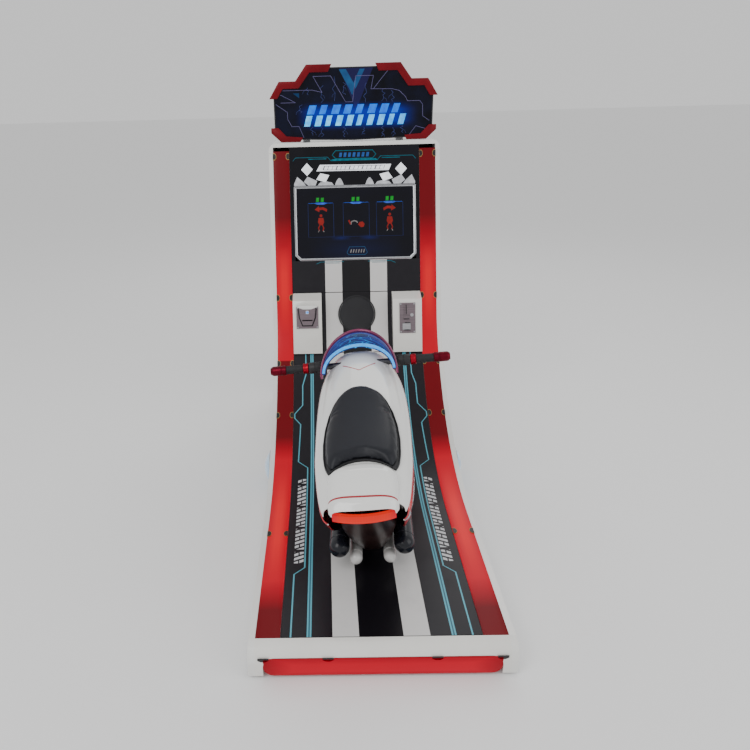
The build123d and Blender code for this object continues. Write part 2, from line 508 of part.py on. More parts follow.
# ---------------------------------------------------------------- side lamps
DOME_R, DOME_H, DOME_Y, DOME_Z = 66.0, 27.0, 925.0, 84.0
ball_r = (DOME_R ** 2 + DOME_H ** 2) / (2 * DOME_H)


def dome_cap(radius, base_r):
    """A spherical cap that stands on the side panel, its centre line along +X."""
    height = radius - math.sqrt(radius ** 2 - base_r ** 2)
    middle_x, middle_z = base_r * 0.55, height - (radius - math.sqrt(radius ** 2 - (base_r * 0.55) ** 2))
    bow = Edge.make_three_point_arc(Vector(base_r, 0, 0), Vector(middle_x, 0, middle_z), Vector(0, 0, height))
    sides = [Edge.make_line(Vector(0, 0, height), Vector(0, 0, 0)), Edge.make_line(Vector(0, 0, 0), bow @ 0)]
    return revolve(Face(Wire([bow, *sides])), Axis.Z)


dome = Pos(WIDTH / 2, nose(DOME_Y), DOME_Z) * Rot(0, 90, 0) * (dome_cap(ball_r, DOME_R) - dome_cap(ball_r - 3, DOME_R - 8))
PARTS["side_lamp_dome_right"] = dome
PARTS["side_lamp_dome_left"] = mirrored(dome)

# ---------------------------------------------------------------- marquee
MARQUEE_Y = RAMP_TOP.Y + 26
SIGN_T, SIGN_Z0 = 46.0, RAMP_TOP.Z + EDGE_LIP * math.cos(A2)
half_sign = [(0, 290), (186, 290), (232, 232), (300, 232), (332, 176), (332, 58), (292, 12), (0, 4)]
sign = [(x, SIGN_Z0 + z) for x, z in half_sign] + [(-x, SIGN_Z0 + z) for x, z in half_sign[-2:0:-1]]
sign_body = front_prism(sign, MARQUEE_Y, MARQUEE_Y + SIGN_T)
inner_sign = [(x * 0.985, SIGN_Z0 + (z - SIGN_Z0 - 147) * 0.97 + 147) for x, z in sign]
PARTS["marquee_housing"] = sign_body - front_prism(inner_sign, MARQUEE_Y - 1, MARQUEE_Y + SIGN_T - 3)
face_sign = [(x * 0.984, SIGN_Z0 + (z - SIGN_Z0 - 147) * 0.965 + 147) for x, z in sign]
PARTS["marquee_face"] = front_prism(face_sign, MARQUEE_Y, MARQUEE_Y + 4)
PARTS["marquee_light_board"] = block(-230, 230, MARQUEE_Y + SIGN_T - 8, MARQUEE_Y + SIGN_T - 3,
                                     SIGN_Z0 + 50, SIGN_Z0 + 210)
upper_wing = [(-349, 174), (-307, 240), (-239, 240), (-193, 302), (-89, 302), (-104, 272), (-180, 272),
              (-226, 212), (-292, 212), (-316, 174)]
lower_wing = [(-347, 60), (-316, 60), (-284, 26), (-214, 20), (-224, 2), (-306, 2), (-347, 40)]
wings = []
for outline in (upper_wing, lower_wing):
    for side in (1, -1):
        points = [(side * x, SIGN_Z0 + z) for x, z in outline]
        wings.append(front_prism(points, MARQUEE_Y - 10.2, MARQUEE_Y - 0.2))
PARTS["marquee_wings"] = group(wings)
brackets = []
for x in (-200, 200):
    stay = block(x - 15, x + 15, MARQUEE_Y + SIGN_T, MARQUEE_Y + SIGN_T + 4, SIGN_Z0, SIGN_Z0 + 120)
    brackets.append(stay + block(x - 15, x + 15, MARQUEE_Y + SIGN_T, MARQUEE_Y + SIGN_T + 50, SIGN_Z0, SIGN_Z0 + 4))
PARTS["marquee_brackets"] = group(brackets)

# ---------------------------------------------------------------- lean pivot
PIVOT = Pos(0, nose(PIVOT_Y), PIVOT_Z) * Rot(PIVOT_RISE, 0, 0)
HOUSING_HALF, HOUSING_R, BEARING_R, BEARING_W = 105.0, 27.5, 23.5, 12.0
LUG_T, LUG_GAP = 12.0, 4.0
BEAM, BEAM_X = 22.0, 43.0
SHAFT_HALF = HOUSING_HALF + LUG_GAP + LUG_T + 14


def along_pivot(half_length, radius, middle=0.0):
    """A cylinder on the lean axis."""
    return PIVOT * Pos(0, middle, 0) * Rot(90, 0, 0) * Cylinder(radius, 2 * half_length)


housing = along_pivot(HOUSING_HALF, HOUSING_R) - along_pivot(HOUSING_HALF + 1, BEARING_R)
post = PIVOT * Pos(0, -5, -130) * Box(28, 150, 220)
post -= PIVOT * Pos(0, 0, 0) * Box(60, 400, 2 * 20)
post &= block(-30, 30, nose(400), nose(660), FRAME_Z1 + 8, 600)
post -= along_pivot(HOUSING_HALF + 1, BEARING_R)
stop_plate = PIVOT * Pos(0, 0, -43) * Box(108, 60, 6)
foot_plate = block(-58, 58, nose(400), nose(660), FRAME_Z1, FRAME_Z1 + 8)
PARTS["pedestal"] = housing + post + stop_plate + foot_plate
buffers = [PIVOT * Pos(x, 0, -31.15) * Cylinder(9, 17.7) for x in (-BEAM_X, BEAM_X)]
PARTS["lean_stop_buffers"] = group(buffers)
bolts = []
for x in (-50, 50):
    for y in (415, 645):
        bolts.append(Pos(x, nose(y), FRAME_Z1 + 11) * extrude(RegularPolygon(9, 6), amount=6, both=True) &
                     block(x - 15, x + 15, nose(y - 15), nose(y + 15), FRAME_Z1 + 8, FRAME_Z1 + 15))
PARTS["pedestal_bolts"] = group(bolts)
bearings = []
for end in (-1, 1):
    middle = end * (HOUSING_HALF - BEARING_W / 2)
    ring = along_pivot(BEARING_W / 2, BEARING_R, middle)
    bearings.append(ring - along_pivot(BEARING_W, SHAFT_D / 2 + FIT, middle))
PARTS["pivot_bearings"] = group(bearings)

# ---------------------------------------------------------------- bike, drawn upright
BIKE = {}
BIKE["pivot_shaft"] = along_pivot(SHAFT_HALF, SHAFT_D / 2)

lug_middle = HOUSING_HALF + LUG_GAP + LUG_T / 2
chassis = Part()
for end in (-1, 1):
    chassis += PIVOT * Pos(0, end * lug_middle, 0) * Box(2 * BEAM_X + BEAM, LUG_T, 64)
for x in (-BEAM_X, BEAM_X):
    chassis += PIVOT * Pos(x, 0, 0) * Box(BEAM, 2 * lug_middle, BEAM)
plate_outline = [(418, 172), (618, 288), (690, 470), (330, 470), (405, 260)]
for x in (BEAM_X + BEAM / 2, -BEAM_X - BEAM / 2 - 5):
    chassis += side_prism([(nose(y), z) for y, z in plate_outline], x, x + 5)
DECKING_Z = 470.0
chassis += block(-59, 59, nose(330), nose(690), DECKING_Z, DECKING_Z + 5)
chassis += block(-20, 20, nose(160), nose(335), DECKING_Z - 30, DECKING_Z - 8)
chassis += block(-20, 20, nose(331), nose(335), DECKING_Z - 30, DECKING_Z)
head = side_prism([(nose(640), DECKING_Z + 5), (nose(690), DECKING_Z + 5), (nose(BAR_Y + 12), BAR_Z - 12),
                   (nose(BAR_Y - 28), BAR_Z - 12)], -25, 25)
chassis += head
chassis -= along_pivot(SHAFT_HALF + 5, SHAFT_D / 2)
chassis -= PIVOT * Rot(90, 0, 0) * Cylinder(HOUSING_R + 4, 2 * HOUSING_HALF + 2)
BIKE["bike_chassis"] = chassis

# body sections: distance from the nose, width, underside, top, corner radius
HULL = [(150, 226, 392, 472, 34), (230, 258, 276, 495, 70), (350, 288, 214, 514, 85), (500, 300, 192, 535, 90),
        (620, 300, 192, 562, 90), (740, 278, 238, 592, 78), (820, 236, 306, 605, 66), (885, 146, 436, 588, 44)]
SHELL_T = 4.0


def hull(swell=0.0, crown=0.0):
    """The bike's whole body form; swell moves its sides and crown its top."""
    sections = []
    for y, width, low, high, corner in HULL:
        if y == HULL[0][0]:
            y -= min(swell, 0) * 1.0
        if y == HULL[-1][0]:
            y += min(swell, 0) * 1.0
        tall = high + crown - low + swell
        plane = Plane(origin=(0, nose(y), low - swell + (tall) / 2), x_dir=(1, 0, 0), z_dir=(0, -1, 0))
        sections.append(plane * RectangleRounded(width + 2 * swell, tall, min(corner + swell, tall / 2 - 1)))
    return loft(sections)


body = hull()
shell = body - hull(-SHELL_T, -SHELL_T)
SPLIT_Z = 430.0
belly_cut = block(-74, 74, nose(0), nose(1000), 0, SPLIT_Z)
upper = block(-400, 400, nose(0), nose(1000), SPLIT_Z, 900)
lower_half = block(-400, 400, nose(0), nose(1000), 0, SPLIT_Z - GAP)
bar_hole = rod((-200, nose(BAR_Y), BAR_Z), (200, nose(BAR_Y), BAR_Z), BAR_D / 2 + 4)
main = (shell & upper) - bar_hole
main -= block(-26, 26, nose(BAR_Y - 60), nose(BAR_Y + 20), BAR_Z - 40, BAR_Z - 10)
BIKE["main_cowl"] = main
side_half = (shell & lower_half) - belly_cut
fairings = side_half.solids().sort_by(Axis.X)
BIKE["side_fairing_left"] = fairings[0]
BIKE["side_fairing_right"] = fairings[-1]

# seat: an egg outline, its wide end to the rear with a hollow for the tail hump
SEAT_FRONT, SEAT_WIDE, SEAT_BACK, SEAT_HALF = 613.0, 372.0, 236.0, 112.0


def egg(shrink):
    """A vertical prism of the seat's outline."""
    front = Vector(0, nose(SEAT_FRONT - shrink), 480)
    wide = [Vector(side * (SEAT_HALF - shrink), nose(SEAT_WIDE), 480) for side in (-1, 1)]
    back = [Vector(side * (92 - shrink), nose(SEAT_BACK + shrink), 480) for side in (-1, 1)]
    hollow = Vector(0, nose(SEAT_BACK + 36 + shrink), 480)
    nose_curve = Edge.make_spline([wide[0], front, wide[1]], tangents=[(0, 1, 0), (1, 0, 0), (0, -1, 0)])
    right = Edge.make_spline([wide[1], back[1]], tangents=[(0, -1, 0), (-0.35, -1, 0)])
    left = Edge.make_spline([wide[0], back[0]], tangents=[(0, -1, 0), (0.35, -1, 0)])
    rear = Edge.make_three_point_arc(back[0], hollow, back[1])
    return extrude(Face(Wire([nose_curve, right, rear, left])), amount=140, dir=(0, 0, 1))


base_layer = hull(4, 4) - body
BIKE["seat_base"] = (base_layer & egg(6)).solids().sort_by(SortBy.VOLUME)[-1]
pad_layer = hull(26, 26) - hull(4.3, 4.3)
BIKE["seat_pad"] = (pad_layer & egg(0)).solids().sort_by(SortBy.VOLUME)[-1]

# tail: white hump, red lamp, dark under-tail bowl
hump_points = [(94, 446), (94, 460), (120, 488), (205, 522), (230, 520), (262, 505), (262, 470), (150, 446)]
hump = side_prism([(nose(y), z) for y, z in hump_points], -94, 94)
hump_cut = [(98, 446), (98, 458), (122, 483), (205, 517), (230, 515), (258, 501), (262, 470), (150, 440)]
hump_inner = side_prism([(nose(y), z) for y, z in hump_cut], -90, 90)
tail = hump - hump_inner - hull(0.3, 0.3) - egg(-1.5)
BIKE["tail_cowl"] = tail.solids().sort_by(SortBy.VOLUME)[-1]
lamp = block(-84, 84, nose(96), nose(112), 424, 445.5)
BIKE["tail_lamp_lens"] = fillet(lamp.edges().filter_by(Axis.Z).sort_by(Axis.Y)[:2], 10) - hull(0.3, 0.3)


def bowl(shrink):
    """The under-tail form: wide at the lamp, rounded at the deck."""
    rings = []
    for z, centre_y, half_x, half_y in ((423, 345, 94, 240), (320, 370, 86, 190), (220, 405, 66, 130),
                                        (150, 425, 42, 88), (132, 430, 20, 50)):
        plane = Plane(origin=(0, nose(centre_y), z + (shrink if z < 140 else 0)), z_dir=(0, 0, 1))
        rings.append(plane * Ellipse(half_x - shrink, half_y - shrink))
    return loft(rings)


bowl_shell = (bowl(0) - bowl(SHELL_T)) & block(-200, 200, nose(60), nose(382), 100, 422.5)
bowl_shell = bowl_shell - hull(0.3, 0.3)
BIKE["undertail_shell"] = bowl_shell.solids().sort_by(SortBy.VOLUME)[-1]


def capsule(x, z, radius, y0, y1):
    """A round-ended bar along the bike."""
    form = rod((x, nose(y0 + radius), z), (x, nose(y1 - radius), z), radius)
    return form + Pos(x, nose(y0 + radius), z) * Sphere(radius) + Pos(x, nose(y1 - radius), z) * Sphere(radius)


lobe = capsule(98, 188, 31, 276, 640) - hull(0.3, 0.3)
BIKE["foot_pod_right"] = lobe.solids().sort_by(SortBy.VOLUME)[-1]
BIKE["foot_pod_left"] = mirrored(BIKE["foot_pod_right"])
belly = capsule(52, 142, 20, 290, 420) - capsule(98, 186, 29.3, 318, 640) - bowl(-0.3)
BIKE["belly_pod_right"] = belly.solids().sort_by(SortBy.VOLUME)[-1]
BIKE["belly_pod_left"] = mirrored(BIKE["belly_pod_right"])

# dash: a crescent that climbs to the front, with a light strip along its inner edge
DASH = Pos(0, nose(690), 578) * Rot(20, 0, 0)


def crescent(outer, inner, thickness, lift):
    """A flat crescent between two half ellipses, each (half width, length)."""
    ring = extrude(Ellipse(*outer), amount=thickness) - extrude(Ellipse(*inner), amount=thickness)
    ring &= Pos(0, 250, 0) * Box(600, 500, 200)
    return DASH * Pos(0, 0, lift) * ring


BIKE["dash_lens"] = crescent((122, 206), (112, 122), 6, 14) - hull(0.3, 0.3) - bar_hole
BIKE["dash_rim"] = crescent((130, 218), (122.3, 206.3), 26, -4) - hull(0.3, 0.3) - bar_hole
BIKE["dash_light_strip"] = crescent((122, 134), (113, 120), 5, 20.3) - hull(0.3, 0.3)
for name in ("dash_lens", "dash_rim", "dash_light_strip"):
    BIKE[name] = BIKE[name].solids().sort_by(SortBy.VOLUME)[-1]


def bar_sleeve(x0, x1, radius, inner=BAR_D / 2):
    outer = rod((x0, nose(BAR_Y), BAR_Z), (x1, nose(BAR_Y), BAR_Z), radius)
    return outer - rod((x0 - 1, nose(BAR_Y), BAR_Z), (x1 + 1, nose(BAR_Y), BAR_Z), inner)


BAR_HALF = BAR_SPAN / 2
BIKE["handlebar_tube"] = rod((-BAR_HALF + 4, nose(BAR_Y), BAR_Z), (BAR_HALF - 4, nose(BAR_Y), BAR_Z), BAR_D / 2)
clamp_block = block(-24, 24, nose(BAR_Y - 22), nose(BAR_Y + 22), BAR_Z - 12, BAR_Z + 15)
clamp_block -= rod((-30, nose(BAR_Y), BAR_Z), (30, nose(BAR_Y), BAR_Z), BAR_D / 2)
BIKE["handlebar_clamp"] = clamp_block & hull(-SHELL_T - 0.5, -SHELL_T - 0.5)
HOUSING_X, RING_X, GRIP_X, END_X = 130.0, 175.0, 195.0, 254.0
for side, label in ((-1, "left"), (1, "right")):
    flip = mirrored if side < 0 else (lambda shape: shape)
    BIKE["switch_housing_" + label] = flip(bar_sleeve(HOUSING_X, RING_X - 0.3, 20))
    BIKE["clamp_ring_" + label] = flip(bar_sleeve(RING_X, GRIP_X - 0.5, 19))
    inner_r = BAR_D / 2 + (FIT if side > 0 else 0)
    BIKE["grip_" + label] = flip(bar_sleeve(GRIP_X, END_X - 0.5, 15, inner_r))
    end_cap = bar_sleeve(END_X, BAR_HALF - 4, 17)
    end_cap += rod((BAR_HALF - 4, nose(BAR_Y), BAR_Z), (BAR_HALF, nose(BAR_Y), BAR_Z), 13)
    BIKE["bar_end_" + label] = flip(end_cap)

# the bike rests leaned over about its pivot
lean_axis = Axis(origin=(0, nose(PIVOT_Y), PIVOT_Z),
                 direction=(0, math.cos(math.radians(PIVOT_RISE)), math.sin(math.radians(PIVOT_RISE))))
for name, shape in BIKE.items():
    PARTS[name] = shape.rotate(lean_axis, REST_LEAN)

# mirrored pairs and small hardware share a node, each piece still a solid of its own
SHARED = {
    "side_panels": ["side_panel_left", "side_panel_right"],
    "lamp_lenses": ["rail_lens_left", "rail_lens_right", "nose_lens",
                    "side_lamp_dome_left", "side_lamp_dome_right"],
    "rail_channels": ["rail_channel_left", "rail_channel_right"],
    "light_strips": ["led_strip_left", "led_strip_right", "nose_light_strip", "marquee_light_board",
                     "note_acceptor_light"],
    "lens_clips": ["rail_clips", "nose_clips"],
    "levelling_feet": ["foot_pads", "foot_studs"],
    "door_hinge_fixed": ["hinge_leaf_fixed", "hinge_pin"],
    "rear_door": ["rear_door", "hinge_leaf_moving"],
    "exhaust_fan": ["fan_housing", "fan_guard"],
    "display_panel": ["display_panel", "display_glass"],
    "power_and_io_units": ["power_supply", "io_amplifier_board", "mains_lead"],
    "money_validators": ["note_validator", "coin_mechanism"],
    "brackets_and_fasteners": ["marquee_brackets", "display_bracket", "faceplate_screws", "pedestal_bolts"],
    "side_fairings": ["side_fairing_left", "side_fairing_right"],
    "foot_pods": ["foot_pod_left", "foot_pod_right"],
    "belly_pods": ["belly_pod_left", "belly_pod_right"],
    "handlebar": ["handlebar_tube", "handlebar_clamp"],
    "switch_housings": ["switch_housing_left", "switch_housing_right"],
    "bar_ends_and_rings": ["bar_end_left", "bar_end_right", "clamp_ring_left", "clamp_ring_right"],
    "grip_left": ["grip_left"],
    "throttle_grip": ["grip_right"],
}
for node, members in SHARED.items():
    solids = [solid for member in members for solid in PARTS.pop(member).solids()]
    PARTS[node] = group(solids) if len(solids) > 1 else solids[0]

os.makedirs("parts", exist_ok=True)
for name, shape in PARTS.items():
    export_step(shape, "parts/" + name + ".step")
print(len(PARTS), "nodes")
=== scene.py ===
"""Ride-on motorcycle racing cabinet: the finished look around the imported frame."""
import json
import math

import bpy
from mathutils import Matrix, Vector


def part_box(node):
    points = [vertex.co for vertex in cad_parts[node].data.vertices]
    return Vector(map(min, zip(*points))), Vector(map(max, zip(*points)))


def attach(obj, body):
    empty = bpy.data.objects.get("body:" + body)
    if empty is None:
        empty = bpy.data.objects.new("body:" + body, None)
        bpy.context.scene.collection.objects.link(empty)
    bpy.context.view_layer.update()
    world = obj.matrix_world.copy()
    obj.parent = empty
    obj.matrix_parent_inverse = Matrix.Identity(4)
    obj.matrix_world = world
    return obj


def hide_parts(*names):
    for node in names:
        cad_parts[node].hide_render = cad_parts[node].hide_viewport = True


bl_info = {
    "name": "Motorcycle racing cabinet",
    "version": (1, 0, 0),
    "blender": (4, 5, 0),
    "location": "View3D > Sidebar > Cabinet",
    "description": "Builds the shells, prints, lights and seat of a ride-on motorcycle racing cabinet",
    "category": "Add Mesh",
}

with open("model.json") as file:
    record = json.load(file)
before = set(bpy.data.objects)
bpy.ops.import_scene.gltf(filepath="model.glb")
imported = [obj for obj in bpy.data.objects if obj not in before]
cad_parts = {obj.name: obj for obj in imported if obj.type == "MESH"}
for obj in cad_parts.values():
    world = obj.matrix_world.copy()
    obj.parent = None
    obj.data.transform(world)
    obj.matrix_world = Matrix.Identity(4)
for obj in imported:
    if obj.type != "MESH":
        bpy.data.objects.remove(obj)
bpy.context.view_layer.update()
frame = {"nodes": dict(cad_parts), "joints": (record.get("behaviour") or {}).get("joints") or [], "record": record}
NODES = frame["nodes"]
JOINTS = {joint["name"]: joint for joint in frame["joints"]}
SLOTS = {part["node"]: part["material_slot"] for part in frame["record"]["subparts"]}

# ---- places, in metres, worked out from the frame
NOSE_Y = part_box("nose_cap")[0].y
DECK_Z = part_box("nose_cap")[1].z - 0.003
DECK_FRONT = 0.045
FLAT_RUN, RAMP_R1, RAMP_R2 = 0.546, 0.883, 0.483
RAMP_A1, RAMP_A2 = math.radians(52.3), math.radians(72.3)
ARC1_S = FLAT_RUN + RAMP_R1 * RAMP_A1
ARC2_S = ARC1_S + RAMP_R2 * (RAMP_A2 - RAMP_A1)
SKIN = 0.0006
DECK_HALF = 0.2735
RAIL_IN, RAIL_OUT = 0.274, 0.3417
SEAM_LOW, SEAM_HIGH = 1.336, 1.597
REST_LEAN = math.radians(-6.5)
RAIL_END = 2.195
SCREEN_HALF, SCREEN_LOW, SCREEN_HIGH = 0.257, 0.213, 0.527
FACE_AIM = (0, -1, 0.3)
BAR_BACK, BAR_HEIGHT = 0.775, 0.583
DOME_BACK, DOME_HEIGHT, DOME_OUT = 0.925, 0.084, 0.360
SEAT_VOXEL, SEAT_FRAMES = 0.0045, 20
DAYLIGHT = 0.82
LENS_LENGTH, LENS_SHIFT = 31.2, (0.0771, -0.030)
CAMERA_PLACE = (-0.1302, -2.1711, 1.4624)
CAMERA_RIGHT = (0.99965866, 0.0065413, -0.02529366)
CAMERA_UP = (0.02099953, 0.3747905, 0.92687167)


def nose(distance):
    """Y of a place measured back from the nose."""
    return NOSE_Y + distance


def ramp(x, s, lift=0.0):
    """A point on the ramp, at x across and s along it, lifted off it."""
    slope = 0.0
    y, z = nose(DECK_FRONT) + min(s, FLAT_RUN), DECK_Z
    if s > FLAT_RUN:
        slope = min((s - FLAT_RUN) / RAMP_R1, RAMP_A1)
        y += RAMP_R1 * math.sin(slope)
        z += RAMP_R1 * (1 - math.cos(slope))
    if s > ARC1_S:
        slope = min(RAMP_A1 + (s - ARC1_S) / RAMP_R2, RAMP_A2)
        y += RAMP_R2 * (math.sin(slope) - math.sin(RAMP_A1))
        z += RAMP_R2 * (math.cos(RAMP_A1) - math.cos(slope))
    if s > ARC2_S:
        y += (s - ARC2_S) * math.cos(RAMP_A2)
        z += (s - ARC2_S) * math.sin(RAMP_A2)
    return Vector((x, y - lift * math.sin(slope), z + lift * math.cos(slope)))


def tower(x, t, lift=0.0):
    """A point on the flat tower face, t up from the end of the bend."""
    foot = ramp(0, ARC2_S)
    return Vector((x, foot.y + t * math.cos(RAMP_A2) - lift * math.sin(RAMP_A2),
                   foot.z + t * math.sin(RAMP_A2) + lift * math.cos(RAMP_A2)))


def lean_matrix():
    """Turns a piece drawn on the upright bike to the pose that the bike rests in."""
    joint = JOINTS["bike_lean"]
    pivot = Vector(joint["pos_m"])
    turn = Matrix.Rotation(REST_LEAN, 4, Vector(joint["axis"]).normalized())
    return Matrix.Translation(pivot) @ turn @ Matrix.Translation(-pivot)


LEAN = lean_matrix()


def blend_table(table, at):
    """Smooth value between the points of a short table."""
    if at <= table[0][0]:
        return table[0][1]
    for (a, low), (b, high) in zip(table, table[1:]):
        if at <= b:
            share = (at - a) / (b - a)
            return low + (high - low) * share
    return table[-1][1]


def smooth_table(table, at, reach=0.035):
    """The table's value, averaged over a short reach so that its corners are soft."""
    steps = 7
    return sum(blend_table(table, at + reach * (n / (steps - 1) * 2 - 1)) for n in range(steps)) / steps


# ---- modelling helpers
def deselect():
    if bpy.context.object and bpy.context.object.mode != "OBJECT":
        bpy.ops.object.mode_set(mode="OBJECT")
    bpy.ops.object.select_all(action="DESELECT")


def primitive(kind, name, **settings):
    """Adds a mesh primitive, named, alone in the selection."""
    deselect()
    getattr(bpy.ops.mesh, "primitive_" + kind + "_add")(**settings)
    piece = bpy.context.object
    piece.name = name
    piece.data.name = name
    return piece


def pick(piece):
    deselect()
    piece.select_set(True)
    bpy.context.view_layer.objects.active = piece


def settle(piece):
    """Puts the piece's place into its mesh."""
    pick(piece)
    bpy.ops.object.transform_apply(location=True, rotation=True, scale=True)
    return piece


def modify(piece, kind, **settings):
    """Adds one modifier and applies it."""
    pick(piece)
    modifier = piece.modifiers.new(kind.title(), kind)
    for key, value in settings.items():
        setattr(modifier, key, value)
    bpy.ops.object.modifier_apply(modifier=modifier.name)
    return piece


def tidy_mesh(piece, distance=0.00005):
    """Merges doubles and turns every face outwards."""
    pick(piece)
    bpy.ops.object.mode_set(mode="EDIT")
    bpy.ops.mesh.select_all(action="SELECT")
    bpy.ops.mesh.remove_doubles(threshold=distance)
    bpy.ops.mesh.normals_make_consistent(inside=False)
    bpy.ops.object.mode_set(mode="OBJECT")
    return piece


def whole_edit(piece, *steps):
    """Runs edit-mode operators with the whole piece selected."""
    pick(piece)
    bpy.ops.object.mode_set(mode="EDIT")
    bpy.ops.mesh.select_all(action="SELECT")
    for step in steps:
        step()
    bpy.ops.object.mode_set(mode="OBJECT")


def flip(piece):
    """Turns every face the other way."""
    whole_edit(piece, bpy.ops.mesh.flip_normals)


def face_out():
    bpy.ops.mesh.normals_make_consistent(inside=False)


def cap_ends(piece):
    """Closes the open ends of a swept piece and turns its faces outwards."""
    whole_edit(piece, lambda: bpy.ops.mesh.fill_holes(sides=0), face_out)


def smooth(piece, angle=35.0):
    pick(piece)
    bpy.ops.object.shade_smooth_by_angle(angle=math.radians(angle))
    return piece


def join(name, pieces):
    """Joins pieces into one mesh."""
    deselect()
    for piece in pieces:
        piece.select_set(True)
    bpy.context.view_layer.objects.active = pieces[0]
    if len(pieces) > 1:
        bpy.ops.object.join()
    whole = bpy.context.object
    whole.name = name
    whole.data.name = name
    return whole


def form(name, columns, rows, place, mapping=None):
    """A grid, each of whose points is set by place(u, v); mapping(u, v) gives its UV."""
    piece = primitive("grid", name, x_subdivisions=columns, y_subdivisions=rows, size=2)
    mesh = piece.data
    shares = [((vert.co.x + 1) / 2, (vert.co.y + 1) / 2) for vert in mesh.vertices]
    if mapping:
        layer = mesh.uv_layers.active or mesh.uv_layers.new(name="UVMap")
        for loop in mesh.loops:
            layer.data[loop.index].uv = mapping(*shares[loop.vertex_index])
    for vert, (u, v) in zip(mesh.vertices, shares):
        vert.co = place(u, v)
    mesh.update()
    return piece


def slab(name, columns, rows, place, thickness, mapping=None, up=None):
    """A form with a wall behind it; up is a direction that its front faces."""
    piece = form(name, columns, rows, place, mapping)
    if up is not None and piece.data.polygons[0].normal.dot(Vector(up)) < 0:
        flip(piece)
    return modify(piece, "SOLIDIFY", thickness=thickness, offset=-1.0)


def plate(name, outline, place, thickness):
    """A flat plate: its outline's points go through place(a, b, lift)."""
    piece = primitive("circle", name, vertices=len(outline), radius=1, fill_type="NGON")
    for vert, (a, b) in zip(piece.data.vertices, outline):
        vert.co = place(a, b, 0.0)
    a, b = outline[0]
    outward = place(a, b, 1.0) - place(a, b, 0.0)
    piece.data.update()
    if piece.data.polygons[0].normal.dot(outward) < 0:
        flip(piece)
    return modify(piece, "SOLIDIFY", thickness=thickness, offset=1.0)


def plates(name, outlines, place, thickness):
    return join(name, [plate(name, outline, place, thickness) for outline in outlines])


def strokes(points, width):
    """Flat bars of the given width, one along each step of a line."""
    bars = []
    for start, end in zip(points, points[1:]):
        along = (Vector(end) - Vector(start)).normalized() * width / 2
        side = Vector((-along.y, along.x))
        first, last = Vector(start) - along * 0.8, Vector(end) + along * 0.8
        bars.append([tuple(first + side), tuple(last + side), tuple(last - side), tuple(first - side)])
    return bars


def turned(name, stations, centre, axis, segments=48):
    """A turned piece along an axis: a ring at each (distance, radius), closed at both ends."""
    direction = Vector(axis).normalized()
    first = stations[0]
    start = Vector(centre) + direction * first[0]
    rotation = direction.to_track_quat("Z", "Y").to_euler()
    piece = primitive("circle", name, vertices=segments, radius=first[1], fill_type="NGON",
                      location=start, rotation=rotation)
    bpy.ops.object.mode_set(mode="EDIT")
    bpy.ops.mesh.select_all(action="SELECT")
    for (a, r0), (b, r1) in zip(stations, stations[1:]):
        bpy.ops.mesh.extrude_region_move(TRANSFORM_OT_translate={"value": direction * (b - a)})
        middle = Vector(centre) + direction * b
        scale = r1 / r0
        bpy.ops.transform.resize(value=(scale, scale, scale), center_override=middle)
    bpy.ops.object.mode_set(mode="OBJECT")
    return tidy_mesh(settle(piece))


def softened(name, node, width, segments=3, test=None, angle=28.0):
    """A copy of a CAD node, its doubles merged, its flat faces joined and its sharp edges rounded."""
    deselect()
    piece = NODES[node].copy()
    piece.data = NODES[node].data.copy()
    piece.name = name
    piece.data.name = name
    piece.parent = None
    bpy.context.scene.collection.objects.link(piece)
    piece.matrix_world = Matrix.Identity(4)
    pick(piece)
    bpy.ops.object.mode_set(mode="EDIT")
    bpy.ops.mesh.select_all(action="SELECT")
    bpy.ops.mesh.remove_doubles(threshold=0.00002)
    bpy.ops.mesh.dissolve_limited(angle_limit=math.radians(1.5))
    bpy.ops.mesh.select_all(action="DESELECT")
    bpy.ops.mesh.select_mode(type="EDGE")
    bpy.ops.mesh.edges_select_sharp(sharpness=math.radians(angle))
    bpy.ops.object.mode_set(mode="OBJECT")
    for edge in piece.data.edges:
        if edge.select and test:
            points = [piece.data.vertices[n].co for n in edge.vertices]
            edge.select = all(test(point) for point in points)
    bpy.ops.object.mode_set(mode="EDIT")
    bpy.ops.mesh.bevel(offset=width, segments=segments, affect="EDGES", clamp_overlap=True)
    bpy.ops.object.mode_set(mode="OBJECT")
    return piece


def ride(piece, body, material, slot_name, replaces=()):
    """Gives a finished piece its material, its body and the CAD nodes that it stands for."""
    settle(piece)
    if material is not None:
        piece.data.materials.clear()
        piece.data.materials.append(material)
    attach(piece, body)
    if replaces:
        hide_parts(*replaces)
    return piece


def ride_bike(piece, material, slot_name, replaces=(), body="bike"):
    """A piece drawn on the upright bike: leaned to the rest pose, then ridden."""
    settle(piece)
    piece.data.transform(LEAN)
    piece.data.update()
    return ride(piece, body, material, slot_name, replaces)


def coat(node, material):
    """Gives a CAD node a finish."""
    mesh = NODES[node].data
    mesh.materials.clear()
    mesh.materials.append(material)


